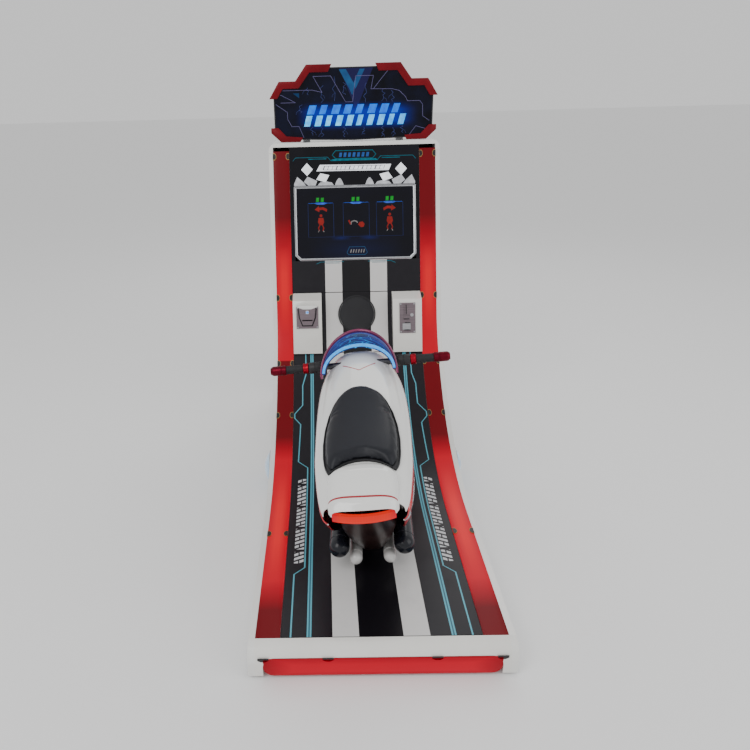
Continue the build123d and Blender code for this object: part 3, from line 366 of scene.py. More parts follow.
# ---- shader maths
class Value:
    """A shader socket that Python arithmetic works on."""

    def __init__(self, graph, socket):
        self.graph, self.socket = graph, socket

    def math(self, operation, *others):
        return self.graph.add("ShaderNodeMath", {"operation": operation}, self, *others)

    def __add__(self, other):
        return self.math("ADD", other)

    def __sub__(self, other):
        return self.math("SUBTRACT", other)

    def __mul__(self, other):
        return self.math("MULTIPLY", other)

    def __truediv__(self, other):
        return self.math("DIVIDE", other)

    def __rsub__(self, other):
        return self.graph.add("ShaderNodeMath", {"operation": "SUBTRACT"}, other, self)

    __radd__, __rmul__ = __add__, __mul__

    def __abs__(self):
        return self.math("ABSOLUTE")

    def below(self, other):
        return self.math("LESS_THAN", other)

    def above(self, other):
        return self.math("GREATER_THAN", other)

    def least(self, other):
        return self.math("MINIMUM", other)

    def most(self, other):
        return self.math("MAXIMUM", other)

    def fraction(self):
        return self.math("FRACT")

    def rise(self, low, high):
        """0 below low, 1 above high, straight between."""
        return self.graph.add("ShaderNodeMapRange", {"clamp": True}, self, low, high, 0.0, 1.0)

    def between(self, low, high):
        return self.above(low) * self.below(high)


class Finish:
    """A material and the short way to add nodes to it."""

    def __init__(self, name, colour, roughness=0.4, metallic=0.0, coat=0.0, glow=0.0,
                 specular=0.5):
        self.material = bpy.data.materials.new(name)
        self.material.use_nodes = True
        self.tree = self.material.node_tree
        self.shader = self.tree.nodes["Principled BSDF"]
        self.material.diffuse_color = (*colour, 1)
        settings = {"Base Color": (*colour, 1), "Roughness": roughness, "Metallic": metallic,
                    "Coat Weight": coat,
                    "Coat Roughness": 0.04, "IOR": 1.5, "Emission Strength": glow,
                    "Specular IOR Level": specular}
        for key, value in settings.items():
            self.shader.inputs[key].default_value = value
        self.coordinates = self.tree.nodes.new("ShaderNodeTexCoord")

    def add(self, kind, settings, *values, out=0):
        """Adds a node, sets it, then feeds its inputs with values or links."""
        node = self.tree.nodes.new(kind)
        for key, value in settings.items():
            setattr(node, key, value)
        for socket, value in zip(node.inputs, values):
            self.feed(socket, value)
        return Value(self, node.outputs[out])

    def feed(self, socket, value):
        if isinstance(value, Value):
            self.tree.links.new(value.socket, socket)
        elif value is not None:
            socket.default_value = value

    def set(self, name, value):
        self.feed(self.shader.inputs[name], value)

    def axes(self, source="Object"):
        """The separate coordinates of the piece, or of its own UV map."""
        node = self.tree.nodes.new("ShaderNodeSeparateXYZ")
        self.tree.links.new(self.coordinates.outputs[source], node.inputs[0])
        return [Value(self, out) for out in node.outputs]

    def place(self, source="Object"):
        return Value(self, self.coordinates.outputs[source])

    def noise(self, scale, detail=3.0, roughness=0.5, source="Object"):
        node = self.tree.nodes.new("ShaderNodeTexNoise")
        self.feed(node.inputs["Vector"], self.place(source))
        node.inputs["Scale"].default_value = scale
        node.inputs["Detail"].default_value = detail
        node.inputs["Roughness"].default_value = roughness
        return Value(self, node.outputs["Fac"])

    def mix(self, share, first, second):
        """A colour between two colours."""
        node = self.tree.nodes.new("ShaderNodeMix")
        node.data_type = "RGBA"
        self.feed(node.inputs[0], share)
        for socket, colour in ((node.inputs[6], first), (node.inputs[7], second)):
            self.feed(socket, colour if isinstance(colour, Value) else (*colour, 1))
        return Value(self, node.outputs[2])

    def bump(self, height, strength, distance=0.001):
        node = self.tree.nodes.new("ShaderNodeBump")
        node.inputs["Strength"].default_value = strength
        node.inputs["Distance"].default_value = distance
        self.feed(node.inputs["Height"], height)
        self.set("Normal", Value(self, node.outputs["Normal"]))

    def worn(self, colour, dirt, amount=0.25, scale=9.0):
        """Slow variation of colour and roughness, as on a handled surface."""
        cloud = self.noise(scale, 4.0, 0.6)
        self.set("Base Color", self.mix(cloud.rise(0.35, 0.75) * amount, colour, dirt))
        rough = self.shader.inputs["Roughness"].default_value
        self.set("Roughness", cloud.rise(0.3, 0.8) * (rough * 0.6) + rough * 0.75)
        return cloud


def white_gloss(name="white_gloss", colour=(0.80, 0.80, 0.775)):
    finish = Finish(name, colour, 0.2, coat=0.5)
    finish.worn(colour, (0.66, 0.65, 0.61), 0.35, 6.0)
    finish.bump(finish.noise(320.0, 2.0), 0.04, 0.0004)
    return finish.material


def moulded(name, colour, roughness=0.45, grain=900.0, strength=0.12, coat_weight=0.0):
    """Moulded plastic or powder coat with a fine grain."""
    finish = Finish(name, colour, roughness, coat=coat_weight, specular=0.35)
    dirt = tuple(min(1.0, channel * 1.6 + 0.01) for channel in colour)
    finish.worn(colour, dirt, 0.3, 14.0)
    finish.bump(finish.noise(grain, 2.0), strength, 0.0006)
    return finish.material


def brushed(name, colour, roughness=0.3, streak=(3.0, 3.0, 160.0)):
    """Brushed or drawn metal: fine streaks across the piece."""
    finish = Finish(name, colour, roughness, metallic=1.0)
    mapping = finish.tree.nodes.new("ShaderNodeMapping")
    finish.feed(mapping.inputs["Vector"], finish.place())
    mapping.inputs["Scale"].default_value = streak
    lines = finish.add("ShaderNodeTexNoise", {}, Value(finish, mapping.outputs[0]), None, 4.0, 4.0)
    dark = tuple(channel * 0.7 for channel in colour)
    finish.set("Base Color", finish.mix(lines.rise(0.3, 0.8), colour, dark))
    finish.set("Roughness", lines.rise(0.2, 0.9) * 0.2 + roughness)
    finish.bump(lines, 0.08, 0.0004)
    return finish.material


def rail_glow(name="rail_lens_red"):
    """Red acrylic over light strips: hot where a strip lies, deep red between."""
    finish = Finish(name, (0.06, 0.001, 0.003), 0.30, glow=1.0, specular=0.16)
    across, along, _ = finish.axes("UV")
    upper = along.rise(1.30, 1.305) * (1 - along.rise(1.74, 1.92))
    lower = along.rise(0.10, 0.22) * (1 - along.rise(0.84, 0.95))
    lit = upper.most(lower)
    hot_upper = along.rise(1.42, 1.60) * (1 - along.rise(1.68, 1.80))
    hot_lower = along.rise(0.20, 0.40) * (1 - along.rise(0.60, 0.80))
    centre = 1 - (abs(across - (RAIL_IN + RAIL_OUT) / 2)).rise(0.008, 0.030)
    hot = hot_upper.most(hot_lower) * centre
    mottle = finish.noise(18.0, 3.0).rise(0.2, 0.8) * 0.18 + 0.82
    deep = finish.mix(mottle, (0.060, 0.0, 0.001), (0.110, 0.0, 0.002))
    bright = finish.mix(lit, deep, (0.52, 0.0, 0.012))
    finish.set("Emission Color", finish.mix(hot * 0.85, bright, (0.80, 0.012, 0.014)))
    finish.set("Base Color", finish.mix(lit, (0.06, 0.001, 0.003), (0.10, 0.001, 0.005)))
    finish.bump(finish.noise(60.0, 2.0), 0.03, 0.0005)
    return finish.material


def nose_glow():
    """The nose lens: an even red that falls off at its ends and edges."""
    finish = Finish("nose_lens_red", (0.08, 0.001, 0.004), 0.30, glow=1.0, specular=0.16)
    across, _, height = finish.axes()
    end = (abs(across)).rise(0.24, 0.32)
    edge = height.rise(0.045, 0.066).most(1 - height.rise(0.008, 0.02))
    shade = end.most(edge * 0.6)
    mottle = finish.noise(9.0, 3.0).rise(0.3, 0.8) * 0.12
    finish.set("Emission Color", finish.mix((shade + mottle).least(1.0), (0.56, 0.0, 0.016),
                                            (0.26, 0.0, 0.006)))
    return finish.material


def deck_print(name="deck_print"):
    """The printed deck: charcoal, two white stripes, cyan circuit lines and slanted bars."""
    finish = Finish(name, (0.02, 0.02, 0.024), 0.34, specular=0.28)
    across, along, _ = finish.axes("UV")
    side = abs(across)
    on_deck = along.below(SEAM_LOW)
    below_screen = along.below(ARC2_S + 0.212)
    stripe = side.between(0.060, 0.132) * below_screen
    line = 0.222 + (1 - along.rise(1.19, 1.24)) * 0.014 + (1 - along.rise(1.06, 1.10)) * 0.032
    line = line - (1 - along.rise(1.01, 1.04)) * 0.024 + (1 - along.rise(0.83, 1.0)) * 0.006
    line = line - (1 - along.rise(0.80, 0.83)) * 0.036 + (1 - along.rise(0.25, 0.28)) * 0.032
    thin = (abs(side - line)).below(0.0022) * on_deck
    thick = (abs(abs(side - 0.196) - 0.0042)).below(0.0022) * on_deck
    faint = (abs(side - 0.196)).below(0.0024) * on_deck
    slant = (along * (1 / 0.0195) + side * 24.0).fraction()
    words = (along * (1 / 0.118)).fraction().above(0.10)
    cut = (abs(side - 0.2335)).below(0.0022) * (along * (1 / 0.039)).fraction().above(0.55)
    bars = slant.below(0.60) * side.between(0.2185, 0.2485) * along.between(0.300,
                                                            0.742) * words * (1 - cut)
    grain = finish.noise(40.0, 5.0, 0.65).rise(0.3, 0.8)
    scuff = finish.noise(5.5, 6.0, 0.7).rise(0.55, 0.8)
    dark = finish.mix(grain * 0.5, (0.0065, 0.0055, 0.0085), (0.013, 0.011, 0.016))
    centre = finish.mix(side.below(0.060) * 0.6, dark, (0.003, 0.0025, 0.0035))
    white = finish.mix(scuff * 0.5, (0.62, 0.61, 0.60), (0.47, 0.46, 0.46))
    base = finish.mix(stripe, centre, white)
    base = finish.mix(faint, base, (0.03, 0.12, 0.17))
    base = finish.mix(thin.most(thick), base, (0.10, 0.40, 0.50))
    base = finish.mix(bars, base, (0.62, 0.64, 0.66))
    finish.set("Base Color", base)
    finish.set("Roughness", scuff * 0.16 + 0.30)
    finish.bump(finish.noise(500.0, 2.0), 0.03, 0.0003)
    return finish.material


def black_acrylic(name="black_acrylic"):
    finish = Finish(name, (0.004, 0.004, 0.007), 0.14, specular=0.22)
    cloud = finish.noise(3.0, 4.0)
    finish.set("Base Color", finish.mix(cloud.rise(0.4, 0.7), (0.0020, 0.0020, 0.004),
                                        (0.006, 0.005, 0.011)))
    finish.set("Roughness", finish.noise(30.0, 4.0).rise(0.4, 0.9) * 0.10 + 0.14)
    return finish.material


def glowing(name, colour, second, strength=1.0, scale=60.0):
    """A lit print or lens, slightly uneven."""
    finish = Finish(name, tuple(channel * 0.15 for channel in colour), 0.35, glow=strength, specular=0.2)
    finish.set("Emission Color", finish.mix(finish.noise(scale, 3.0).rise(0.3, 0.75), colour, second))
    return finish.material


def sign_print():
    """The sign's dark field: navy and black patches, violet wedge at the top, glow behind the blocks."""
    finish = Finish("sign_print", (0.002, 0.003, 0.012), 0.22, glow=1.0, specular=0.16)
    x, _, z = finish.axes()
    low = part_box("marquee_face")[0].z
    up = z - low
    cloud = finish.noise(9.0, 5.0, 0.6).rise(0.35, 0.7)
    dark = finish.mix(cloud, (0.0004, 0.0004, 0.0012), (0.0012, 0.0020, 0.0120))
    shifted = x - 0.012
    wedge = (abs(shifted) * 2.35 + 0.115 - up).below(0.0)
    field = finish.mix(wedge, dark, (0.010, 0.008, 0.060))
    shards = ((x * 3.1 + up * 4.2).fraction()).below(0.10) * (abs(x)).above(0.225) * up.between(0.10, 0.185)
    field = finish.mix(shards, field, (0.002, 0.035, 0.110))
    halo_x = (abs(x - 0.012)).rise(0.17, 0.265)
    halo_z = (abs(up - 0.092)).rise(0.022, 0.062)
    halo = (1 - halo_x) * (1 - halo_z)
    field = finish.mix(halo * halo * 0.9, field, (0.0, 0.020, 0.45))
    finish.set("Emission Color", field)
    finish.set("Base Color", finish.mix(cloud, (0.001, 0.001, 0.003), (0.003, 0.004, 0.012)))
    finish.bump(finish.noise(200.0, 2.0), 0.03, 0.0003)
    return finish.material


def sign_block_glow():
    """The sign's lit blocks: cyan in the lower row, blue in the upper."""
    finish = Finish("sign_block_glow", (0.0, 0.05, 0.2), 0.4, glow=1.0, specular=0.2)
    x, _, z = finish.axes()
    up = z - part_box("marquee_face")[0].z
    wave = finish.noise(60.0, 3.0).rise(0.3, 0.75)
    low_row = (1 - up.rise(0.094, 0.100)) * (1 - x.rise(-0.05, 0.30) * 0.45)
    blue = finish.mix(wave, (0.0, 0.10, 0.85), (0.0, 0.26, 1.15))
    cyan = finish.mix(wave, (0.02, 0.55, 1.30), (0.25, 1.10, 1.60))
    finish.set("Emission Color", finish.mix(low_row, blue, cyan))
    return finish.material


def screen_picture():
    """The display's dark blue backdrop, brighter at the bottom middle."""
    finish = Finish("screen_picture", (0.002, 0.002, 0.004), 0.16, glow=1.0, specular=0.2)
    x, t, _ = finish.axes("UV")
    glow = (1 - (abs(x)).rise(0.0, 0.20)) * (1 - (abs(t - 0.035)).rise(0.0, 0.07))
    beam = (1 - (abs(t - 0.085)).rise(0.0, 0.012)) * (1 - (abs(abs(x) - 0.06)).rise(0.0, 0.045))
    haze = finish.noise(11.0, 4.0).rise(0.35, 0.8)
    deep = finish.mix(haze * 0.6 + 0.1, (0.0006, 0.0006, 0.0018), (0.0014, 0.0018, 0.0080))
    field = finish.mix(glow * 0.6, deep, (0.002, 0.006, 0.050))
    finish.set("Emission Color", finish.mix(beam * 0.6, field, (0.004, 0.014, 0.14)))
    return finish.material


def fairing_gloss():
    """White fairing with a red flash that widens to the rear and a red lower edge."""
    finish = Finish("fairing_gloss", (0.78, 0.78, 0.76), 0.2, coat=0.5)
    back, height, _ = finish.axes("UV")
    flash = (height - (0.388 + (back - 0.16) * 0.045)).above(0.0) * (height - 0.4290).below(0.0)
    lower = (height - (0.372 - (back - 0.16) * 0.20)).below(0.0)
    lower = lower * (height - (0.300 - (back - 0.2) * 0.12)).above(0.0)
    sweep = (height - (0.262 - (back - 0.3) * 0.30)).below(0.0) * back.above(0.42)
    red = flash.most(lower * back.below(0.50)).most(sweep)
    fade = finish.noise(26.0, 3.0).rise(0.35, 0.7)
    pink = finish.mix(fade * 0.5, (0.60, 0.008, 0.020), (0.78, 0.060, 0.080))
    white = finish.mix(finish.noise(6.0, 4.0).rise(0.4, 0.8) * 0.3, (0.80, 0.79, 0.79), (0.66, 0.62, 0.62))
    base = finish.mix(red, white, pink)
    low_black = (height - (0.302 - (back - 0.2) * 0.12)).below(0.0) * back.below(0.47)
    finish.set("Base Color", finish.mix(low_black, base, (0.008, 0.008, 0.012)))
    finish.set("Roughness", finish.noise(9.0, 4.0).rise(0.3, 0.8) * 0.12 + 0.14)
    finish.bump(finish.noise(320.0, 2.0), 0.04, 0.0004)
    return finish.material


def lined_gloss(name, line, shade, red):
    """White body gloss with a thin red line; line(x, back) masks it."""
    finish = Finish(name, (0.80, 0.80, 0.78), 0.16, coat=0.7)
    x, back, _ = finish.axes("UV")
    cloud = finish.noise(6.0, 4.0).rise(0.4, 0.8)
    white = finish.mix(cloud * 0.3, (0.80, 0.80, 0.78), shade)
    finish.set("Base Color", finish.mix(line(x, back), white, red))
    finish.set("Roughness", cloud * 0.10 + 0.13)
    finish.bump(finish.noise(300.0, 2.0), 0.05, 0.0004)
    return finish.material


def cowl_gloss():
    """The cowl, with a chevron ahead of the seat."""
    return lined_gloss("cowl_gloss", lambda x, back: (abs(back - (0.716 + abs(x) * 0.62))).below(0.0024)
                       * (abs(x)).below(0.056), (0.68, 0.68, 0.65), (0.42, 0.02, 0.03))


def hump_gloss():
    """The tail hump, with one line across."""
    return lined_gloss("hump_gloss", lambda x, back: (abs(back - (0.1235 - x * 0.02))).below(0.0026)
                       * (abs(x)).below(0.091), (0.68, 0.67, 0.64), (0.36, 0.012, 0.02))


def seat_vinyl():
    """Black vinyl with a fine leather grain and a soft sheen."""
    finish = Finish("seat_vinyl", (0.006, 0.007, 0.011), 0.40, specular=0.32)
    cells = finish.add("ShaderNodeTexVoronoi", {"feature": "F1"}, finish.place(), None, 420.0)
    fine = finish.noise(900.0, 3.0)
    cloud = finish.noise(7.0, 4.0).rise(0.35, 0.75)
    finish.set("Base Color", finish.mix(cloud, (0.0045, 0.0055, 0.0095), (0.009, 0.010, 0.015)))
    finish.set("Roughness", cloud * 0.12 + 0.36)
    finish.bump(cells * 0.7 + fine * 0.3, 0.22, 0.0005)
    return finish.material


def tail_glow():
    """The tail lamp: orange in the middle, pink-red at its ends."""
    finish = Finish("tail_lamp_glow", (0.10, 0.004, 0.003), 0.25, glow=1.0, specular=0.25)
    x, _, _ = finish.axes()
    end = (abs(x + 0.044)).rise(0.060, 0.082)
    ribs = (x * 140.0).fraction().rise(0.0, 0.5) * 0.15
    finish.set("Emission Color", finish.mix((end + ribs).least(1.0), (0.85, 0.022, 0.004),
                                            (0.65, 0.004, 0.016)))
    return finish.material


def dash_glow():
    """The dash lens: deep blue with brighter rings and traces that follow the crescent."""
    finish = Finish("dash_glow", (0.001, 0.002, 0.02), 0.16, glow=1.0, specular=0.35)
    turn, out, _ = finish.axes("UV")
    cells = finish.add("ShaderNodeTexVoronoi", {"feature": "DISTANCE_TO_EDGE"}, finish.place("UV"), None,
                       9.0)
    trace = 1 - cells.rise(0.010, 0.035)
    middle = 1 - (abs(turn - 0.5)).rise(0.05, 0.32)
    rings = (abs((out * 3.0).fraction() - 0.5)).below(0.09)
    wave = finish.noise(5.0, 3.0, 0.5, "UV").rise(0.3, 0.7)
    field = finish.mix(wave, (0.0005, 0.002, 0.030), (0.001, 0.012, 0.200))
    field = finish.mix(rings * 0.45, field, (0.004, 0.09, 0.60))
    field = finish.mix(trace * middle * (1 - out.rise(0.55, 0.9)), field, (0.0, 0.40, 1.00))
    field = finish.mix(out.above(0.87), field, (0.045, 0.002, 0.030))
    finish.set("Emission Color", field)
    finish.set("Base Color", finish.mix(wave, (0.001, 0.002, 0.02), (0.002, 0.005, 0.05)))
    return finish.material


def perforated():
    """Black speaker mesh: rows of small holes, each painted near-black as painted shade for the dark seen through
    it.
    """
    finish = Finish("speaker_mesh", (0.012, 0.012, 0.014), 0.5)
    u, v, _ = finish.axes("UV")
    row = (v * 110.0).fraction() - 0.5
    col = (u * 110.0).fraction() - 0.5
    hole = (row * row + col * col).below(0.085)
    # painted shade: the holes are painted near-black for the shade seen through them
    finish.set("Base Color", finish.mix(hole, (0.020, 0.020, 0.024), (0.002, 0.002, 0.002)))
    finish.set("Roughness", hole * 0.4 + 0.42)
    finish.bump(1 - hole, 0.6, 0.001)
    return finish.material


# ---- sizes and colours that a user would change
def length_property(name, description, default):
    return bpy.props.FloatProperty(name=name, description=description, default=default, unit="LENGTH",
                                   min=0.0, precision=4)


def colour_property(name, description, default):
    return bpy.props.FloatVectorProperty(name=name, description=description, default=default,
                                         subtype="COLOR",
                                         size=3, min=0.0, max=1.0)


class CabinetShellSettings(bpy.types.PropertyGroup):
    print_thickness: length_property("Print thickness",
                                     "Thickness of the printed skin on the deck and tower", 0.0008)
    lens_height: length_property("Lens height", "How far the rail lenses stand proud of the deck", 0.003)
    rail_crown: length_property("Rail crown", "How much higher a rail lens is at its middle", 0.0012)
    clip_height: length_property("Clip height", "Thickness of the clips that hold the lenses", 0.003)
    box_corner: length_property("Box corner", "Radius of the moulded boxes' edges", 0.010)
    white: colour_property("White", "Colour of the painted shells", (0.80, 0.80, 0.775))


class CabinetSignSettings(bpy.types.PropertyGroup):
    block_depth: length_property("Block depth", "How far the lit blocks stand out of the sign", 0.0012)
    outline_width: length_property("Outline width", "Width of the pale lines on the sign", 0.0016)
    wing_red: colour_property("Wing red", "Colour of the sign's side wings", (0.16, 0.003, 0.008))


class BikeBodySettings(bpy.types.PropertyGroup):
    waist: length_property("Waist", "Height of the seam between cowl and fairings", 0.430)
    wall: length_property("Wall", "Thickness of the moulded bodywork", 0.003)
    seat_pressure: bpy.props.FloatProperty(name="Seat pressure", description="How hard the seat is stuffed",
                                           default=4.0, min=0.0)
    seat_swell: length_property("Seat swell", "Most that the stuffing may push a point of the seat", 0.006)


class BikeControlSettings(bpy.types.PropertyGroup):
    grip_radius: length_property("Grip radius", "Radius of the rubber grips", 0.0150)
    grip_ribs: bpy.props.IntProperty(name="Grip ribs", description="How many ribs a grip has", default=14,
                                     min=1)
    blue: colour_property("Blue", "Colour of the dash light strip", (0.0, 0.34, 0.95))


class CabinetStageSettings(bpy.types.PropertyGroup):
    floor_colour: colour_property("Floor", "Colour of the studio floor", (0.86, 0.86, 0.86))
    key_power: bpy.props.FloatProperty(name="Key power", description="Power of the main soft light",
                                       default=60.0,
                                       min=0.0, unit="POWER")


GROUPS = {"cabinet_shell": CabinetShellSettings, "cabinet_sign": CabinetSignSettings,
          "bike_body": BikeBodySettings,
          "bike_controls": BikeControlSettings, "cabinet_stage": CabinetStageSettings}


# ---- the bike's body, upright, back from the nose
BODY_HALF = ((.10, .098), (.13, .113), (.16, .121), (.23, .132), (.35, .145), (.50, .151), (.62, .153),
             (.70, .151),
             (.76, .144), (.81, .129), (.85, .108), (.88, .082), (.893, .058))
BODY_TOP = ((.10, .462), (.16, .478), (.23, .492), (.35, .512), (.50, .533), (.62, .562), (.70, .582),
            (.76, .597),
            (.82, .609), (.86, .604), (.893, .570))
BODY_LOW = ((.15, .388), (.17, .352), (.20, .305), (.25, .262), (.33, .222), (.45, .194), (.62, .194),
            (.74, .240),
            (.82, .306), (.885, .425), (.895, .455))
TOP_ROUND, LOW_ROUND = 2.9, 3.4


def body_point(y, angle, waist):
    """A point of the body's skin: angle 0 at the right waist, 90 at the top, 270 at the bottom."""
    half = smooth_table(BODY_HALF, y)
    rise = smooth_table(BODY_TOP, y) - waist
    drop = max(waist - smooth_table(BODY_LOW, y), 0.004)
    cosine, sine = math.cos(angle), math.sin(angle)
    power = 2 / TOP_ROUND if sine >= 0 else 2 / LOW_ROUND
    x = half * math.copysign(abs(cosine) ** power, cosine)
    reach = rise if sine >= 0 else drop
    z = waist + reach * math.copysign(abs(sine) ** power, sine)
    if sine < 0:
        x *= 1 - 0.10 * (-sine) ** 2
    return Vector((x, nose(y), z))


class CABINET_OT_deck_prints(bpy.types.Operator):
    """Printed skins on the deck, on the lower tower and round the screen"""
    bl_idname = "cabinet.deck_prints"
    bl_label = "Deck prints"

    def execute(self, context):
        sizes = context.scene.cabinet_shell
        thick = sizes.print_thickness
        print_finish = deck_print()
        gloss = black_acrylic()

        def ramp_skin(name, s_low, s_high, rows, half):
            def place(u, v):
                return ramp((u * 2 - 1) * half, s_low + (s_high - s_low) * v, SKIN + thick)

            def mapping(u, v):
                return ((u * 2 - 1) * half, s_low + (s_high - s_low) * v)
            return slab(name, 8, rows, place, thick, mapping, up=(0, -1, 1))

        deck = ramp_skin("deck_print", 0.004, SEAM_LOW - 0.002, 90, DECK_HALF - 0.002)
        low = ramp_skin("lower_tower_print", SEAM_LOW + 0.001, SEAM_HIGH - 0.0015, 24, DECK_HALF - 0.002)
        for piece, slot_name in ((deck, "deck_graphic"), (low, "deck_graphic")):
            ride(piece, "cabinet", print_finish, slot_name)
        x, low_t, high_t = SCREEN_HALF, SCREEN_LOW, SCREEN_HIGH
        face = []
        for name, left, right, t0, t1 in (("screen_surround_print_low", -.2715, .2715,
                                           SEAM_HIGH - ARC2_S + .0015, low_t),
                                          ("screen_surround_print_left", -.2715, -x, low_t, high_t),
                                          ("screen_surround_print_right", x, .2715, low_t, high_t),
                                          ("screen_surround_print_top", -.2715, .2715, high_t, 0.688)):
            def place(u, v):
                return tower(left + (right - left) * u, t0 + (t1 - t0) * v, SKIN + thick)

            def mapping(u, v):
                return (left + (right - left) * u, ARC2_S + t0 + (t1 - t0) * v)
            face.append(slab(name, 6, 6, place, thick, mapping, up=FACE_AIM))
        ride(face[0], "cabinet", print_finish, "deck_graphic")
        for piece in face[1:]:
            ride(piece, "cabinet", gloss, "screen_black")
        return {"FINISHED"}


def tower_lines():
    """The lines and blocks on the tower above the screen: teal, blue, white and grey outlines."""
    hexagon = [(-.092, .6535), (-.078, .671), (.078, .671), (.092, .6535), (.078, .638), (-.078, .638)]
    teal = strokes(hexagon + hexagon[:1], .0024)
    teal += strokes([(-.259, .632), (-.247, .6455), (-.112, .6455), (-.098, .6305), (.098, .6305),
                     (.112, .6455),
                     (.247, .6455), (.259, .632)], .0020)
    teal.append([(-.100, .6290), (-.092, .6365), (.092, .6365), (.100, .6290)])
    for side in (-1, 1):
        teal += strokes([(side * .118, .6385), (side * .192, .6385)], .0030)
        teal += strokes([(side * .052, .2065), (side * .150, .2065), (side * .168, .1985)], .0022)
        teal += strokes([(side * .070, .2010), (side * .128, .2010)], .0016)
    blue = []
    for n in range(7):
        x = -.057 + n * .0190
        blue.append([(x - .0070, .6445), (x - .0040, .6625), (x + .0070, .6625), (x + .0040, .6445)])
    white = [[(-.160, .588), (-.145, .614), (.156, .611), (.145, .586)]]
    for x, t in ((-.200, .596), (.197, .591)):
        white.append([(x - .0245, t), (x, t + .0265), (x + .0245, t), (x, t - .0265)])
    grey = []
    for side in (-1, 1):
        white.append([(side * x, t) for x, t in ((.1436, .5790), (.1060, .5705), (.1225, .5413),
                                                 (.1614, .5536))])
        grey.append([(side * x, t) for x, t in ((.2418, .5664), (.2557, .5370), (.2557, .5290),
                                                (.2050, .5290),
                                                (.2150, .5424))])
        grey.append([(side * x, t) for x, t in ((.1985, .5664), (.2140, .5450), (.1950, .5290),
                                                (.1650, .5290),
                                                (.1580, .5475))])
        grey.append([(side * x, t) for x, t in ((.1560, .5290), (.1450, .5410), (.1200, .5450),
                                                (.0960, .5400),
                                                (.0880, .5290))])
        grey.append([(side * x, t) for x, t in ((.0826, .5290), (.0760, .5450), (.0680, .5560),
                                                (.0640, .5577),
                                                (.0590, .5555), (.0520, .5450), (.0460, .5290))])
    return teal, blue, white, grey


class CABINET_OT_tower_lights(bpy.types.Operator):
    """Lit lines and blocks on the tower face above and below the screen"""
    bl_idname = "cabinet.tower_lights"
    bl_label = "Tower lights"

    def execute(self, context):
        teal, blue, white, grey = tower_lines()
        lift = SKIN + 0.0009

        def place(a, b, out):
            return tower(a, b, lift + out)

        ride(plates("tower_teal_lines", teal, place, 0.0005), "cabinet",
             glowing("tower_teal", (0.0, 0.085, 0.125), (0.004, 0.190, 0.260), 1.0), "screen_black")
        ride(plates("tower_blue_blocks", blue, place, 0.0005), "cabinet",
             glowing("tower_blue", (0.010, 0.060, 0.240), (0.020, 0.120, 0.400), 1.0), "screen_black")
        ride(plates("tower_white_blocks", white, place, 0.0005), "cabinet",
             glowing("tower_white", (1.25, 1.28, 1.35), (0.90, 0.93, 1.0), 1.0, 40.0), "screen_black")
        ride(plates("tower_grey_marks", grey, place, 0.0005), "cabinet",
             glowing("tower_grey", (0.42, 0.43, 0.46), (0.66, 0.67, 0.72), 1.0), "screen_black")
        dark = []
        for n in range(15):
            x = -.128 + n * .0182
            dark += strokes([(x - .0030, .5935), (x + .0022, .6065)], .0022 if n % 3 else .0042)
        dark += strokes([(-.128, .6075), (.120, .6065)], .0016) + strokes([(-.132, .5925), (.116, .5915)],
                                                            .0014)

        def over(a, b, out):
            return tower(a, b, lift + 0.0005 + out)
        ride(plates("tower_dark_bars", dark, over, 0.0004), "cabinet",
             moulded("tower_bar_black", (0.03, 0.03, 0.045), 0.4), "screen_black")
        return {"FINISHED"}


class CABINET_OT_rail_lenses(bpy.types.Operator):
    """Red lenses along both rails and across the nose"""
    bl_idname = "cabinet.rail_lenses"
    bl_label = "Rail lenses"

    def execute(self, context):
        sizes = context.scene.cabinet_shell
        finish = rail_glow()
        pieces = []
        for side in (-1, 1):
            def place(u, v):
                x = RAIL_IN + (RAIL_OUT - RAIL_IN) * u
                crown = sizes.rail_crown * (1 - (u * 2 - 1) ** 4) - 0.0004
                return ramp(side * x, 0.001 + (RAIL_END - 0.002) * v, sizes.lens_height + crown)

            def mapping(u, v):
                return (RAIL_IN + (RAIL_OUT - RAIL_IN) * u, RAIL_END * v)
            name = "rail_lens_right" if side > 0 else "rail_lens_left"
            pieces.append(slab(name, 12, 150, place, 0.004, mapping, up=(0, -1, 1)))
        for piece in pieces:
            ride(smooth(piece, 40), "cabinet", finish, "red_lens", ("lamp_lenses",))
        corner, half, low, high = 0.028, 0.3195, 0.0085, 0.0655
        outline = [(-half, high), (half, high)]
        for side in (1, -1):
            for n in range(7):
                turn = n / 6 * math.pi / 2
                step = turn if side > 0 else math.pi / 2 - turn
                outline.append((side * (half - corner + corner * math.cos(step)),
                                low + corner - corner * math.sin(step)))
        front = nose(0.0)

        def flat(a, b, out):
            return Vector((a, front + 0.0032 - out, b))
        lens = plate("nose_lens", outline, flat, 0.0032)
        modify(lens, "BEVEL", width=0.0014, segments=3, limit_method="ANGLE", angle_limit=math.radians(50))
        ride(smooth(lens, 40), "cabinet", nose_glow(), "red_lens", ("lamp_lenses",))
        return {"FINISHED"}


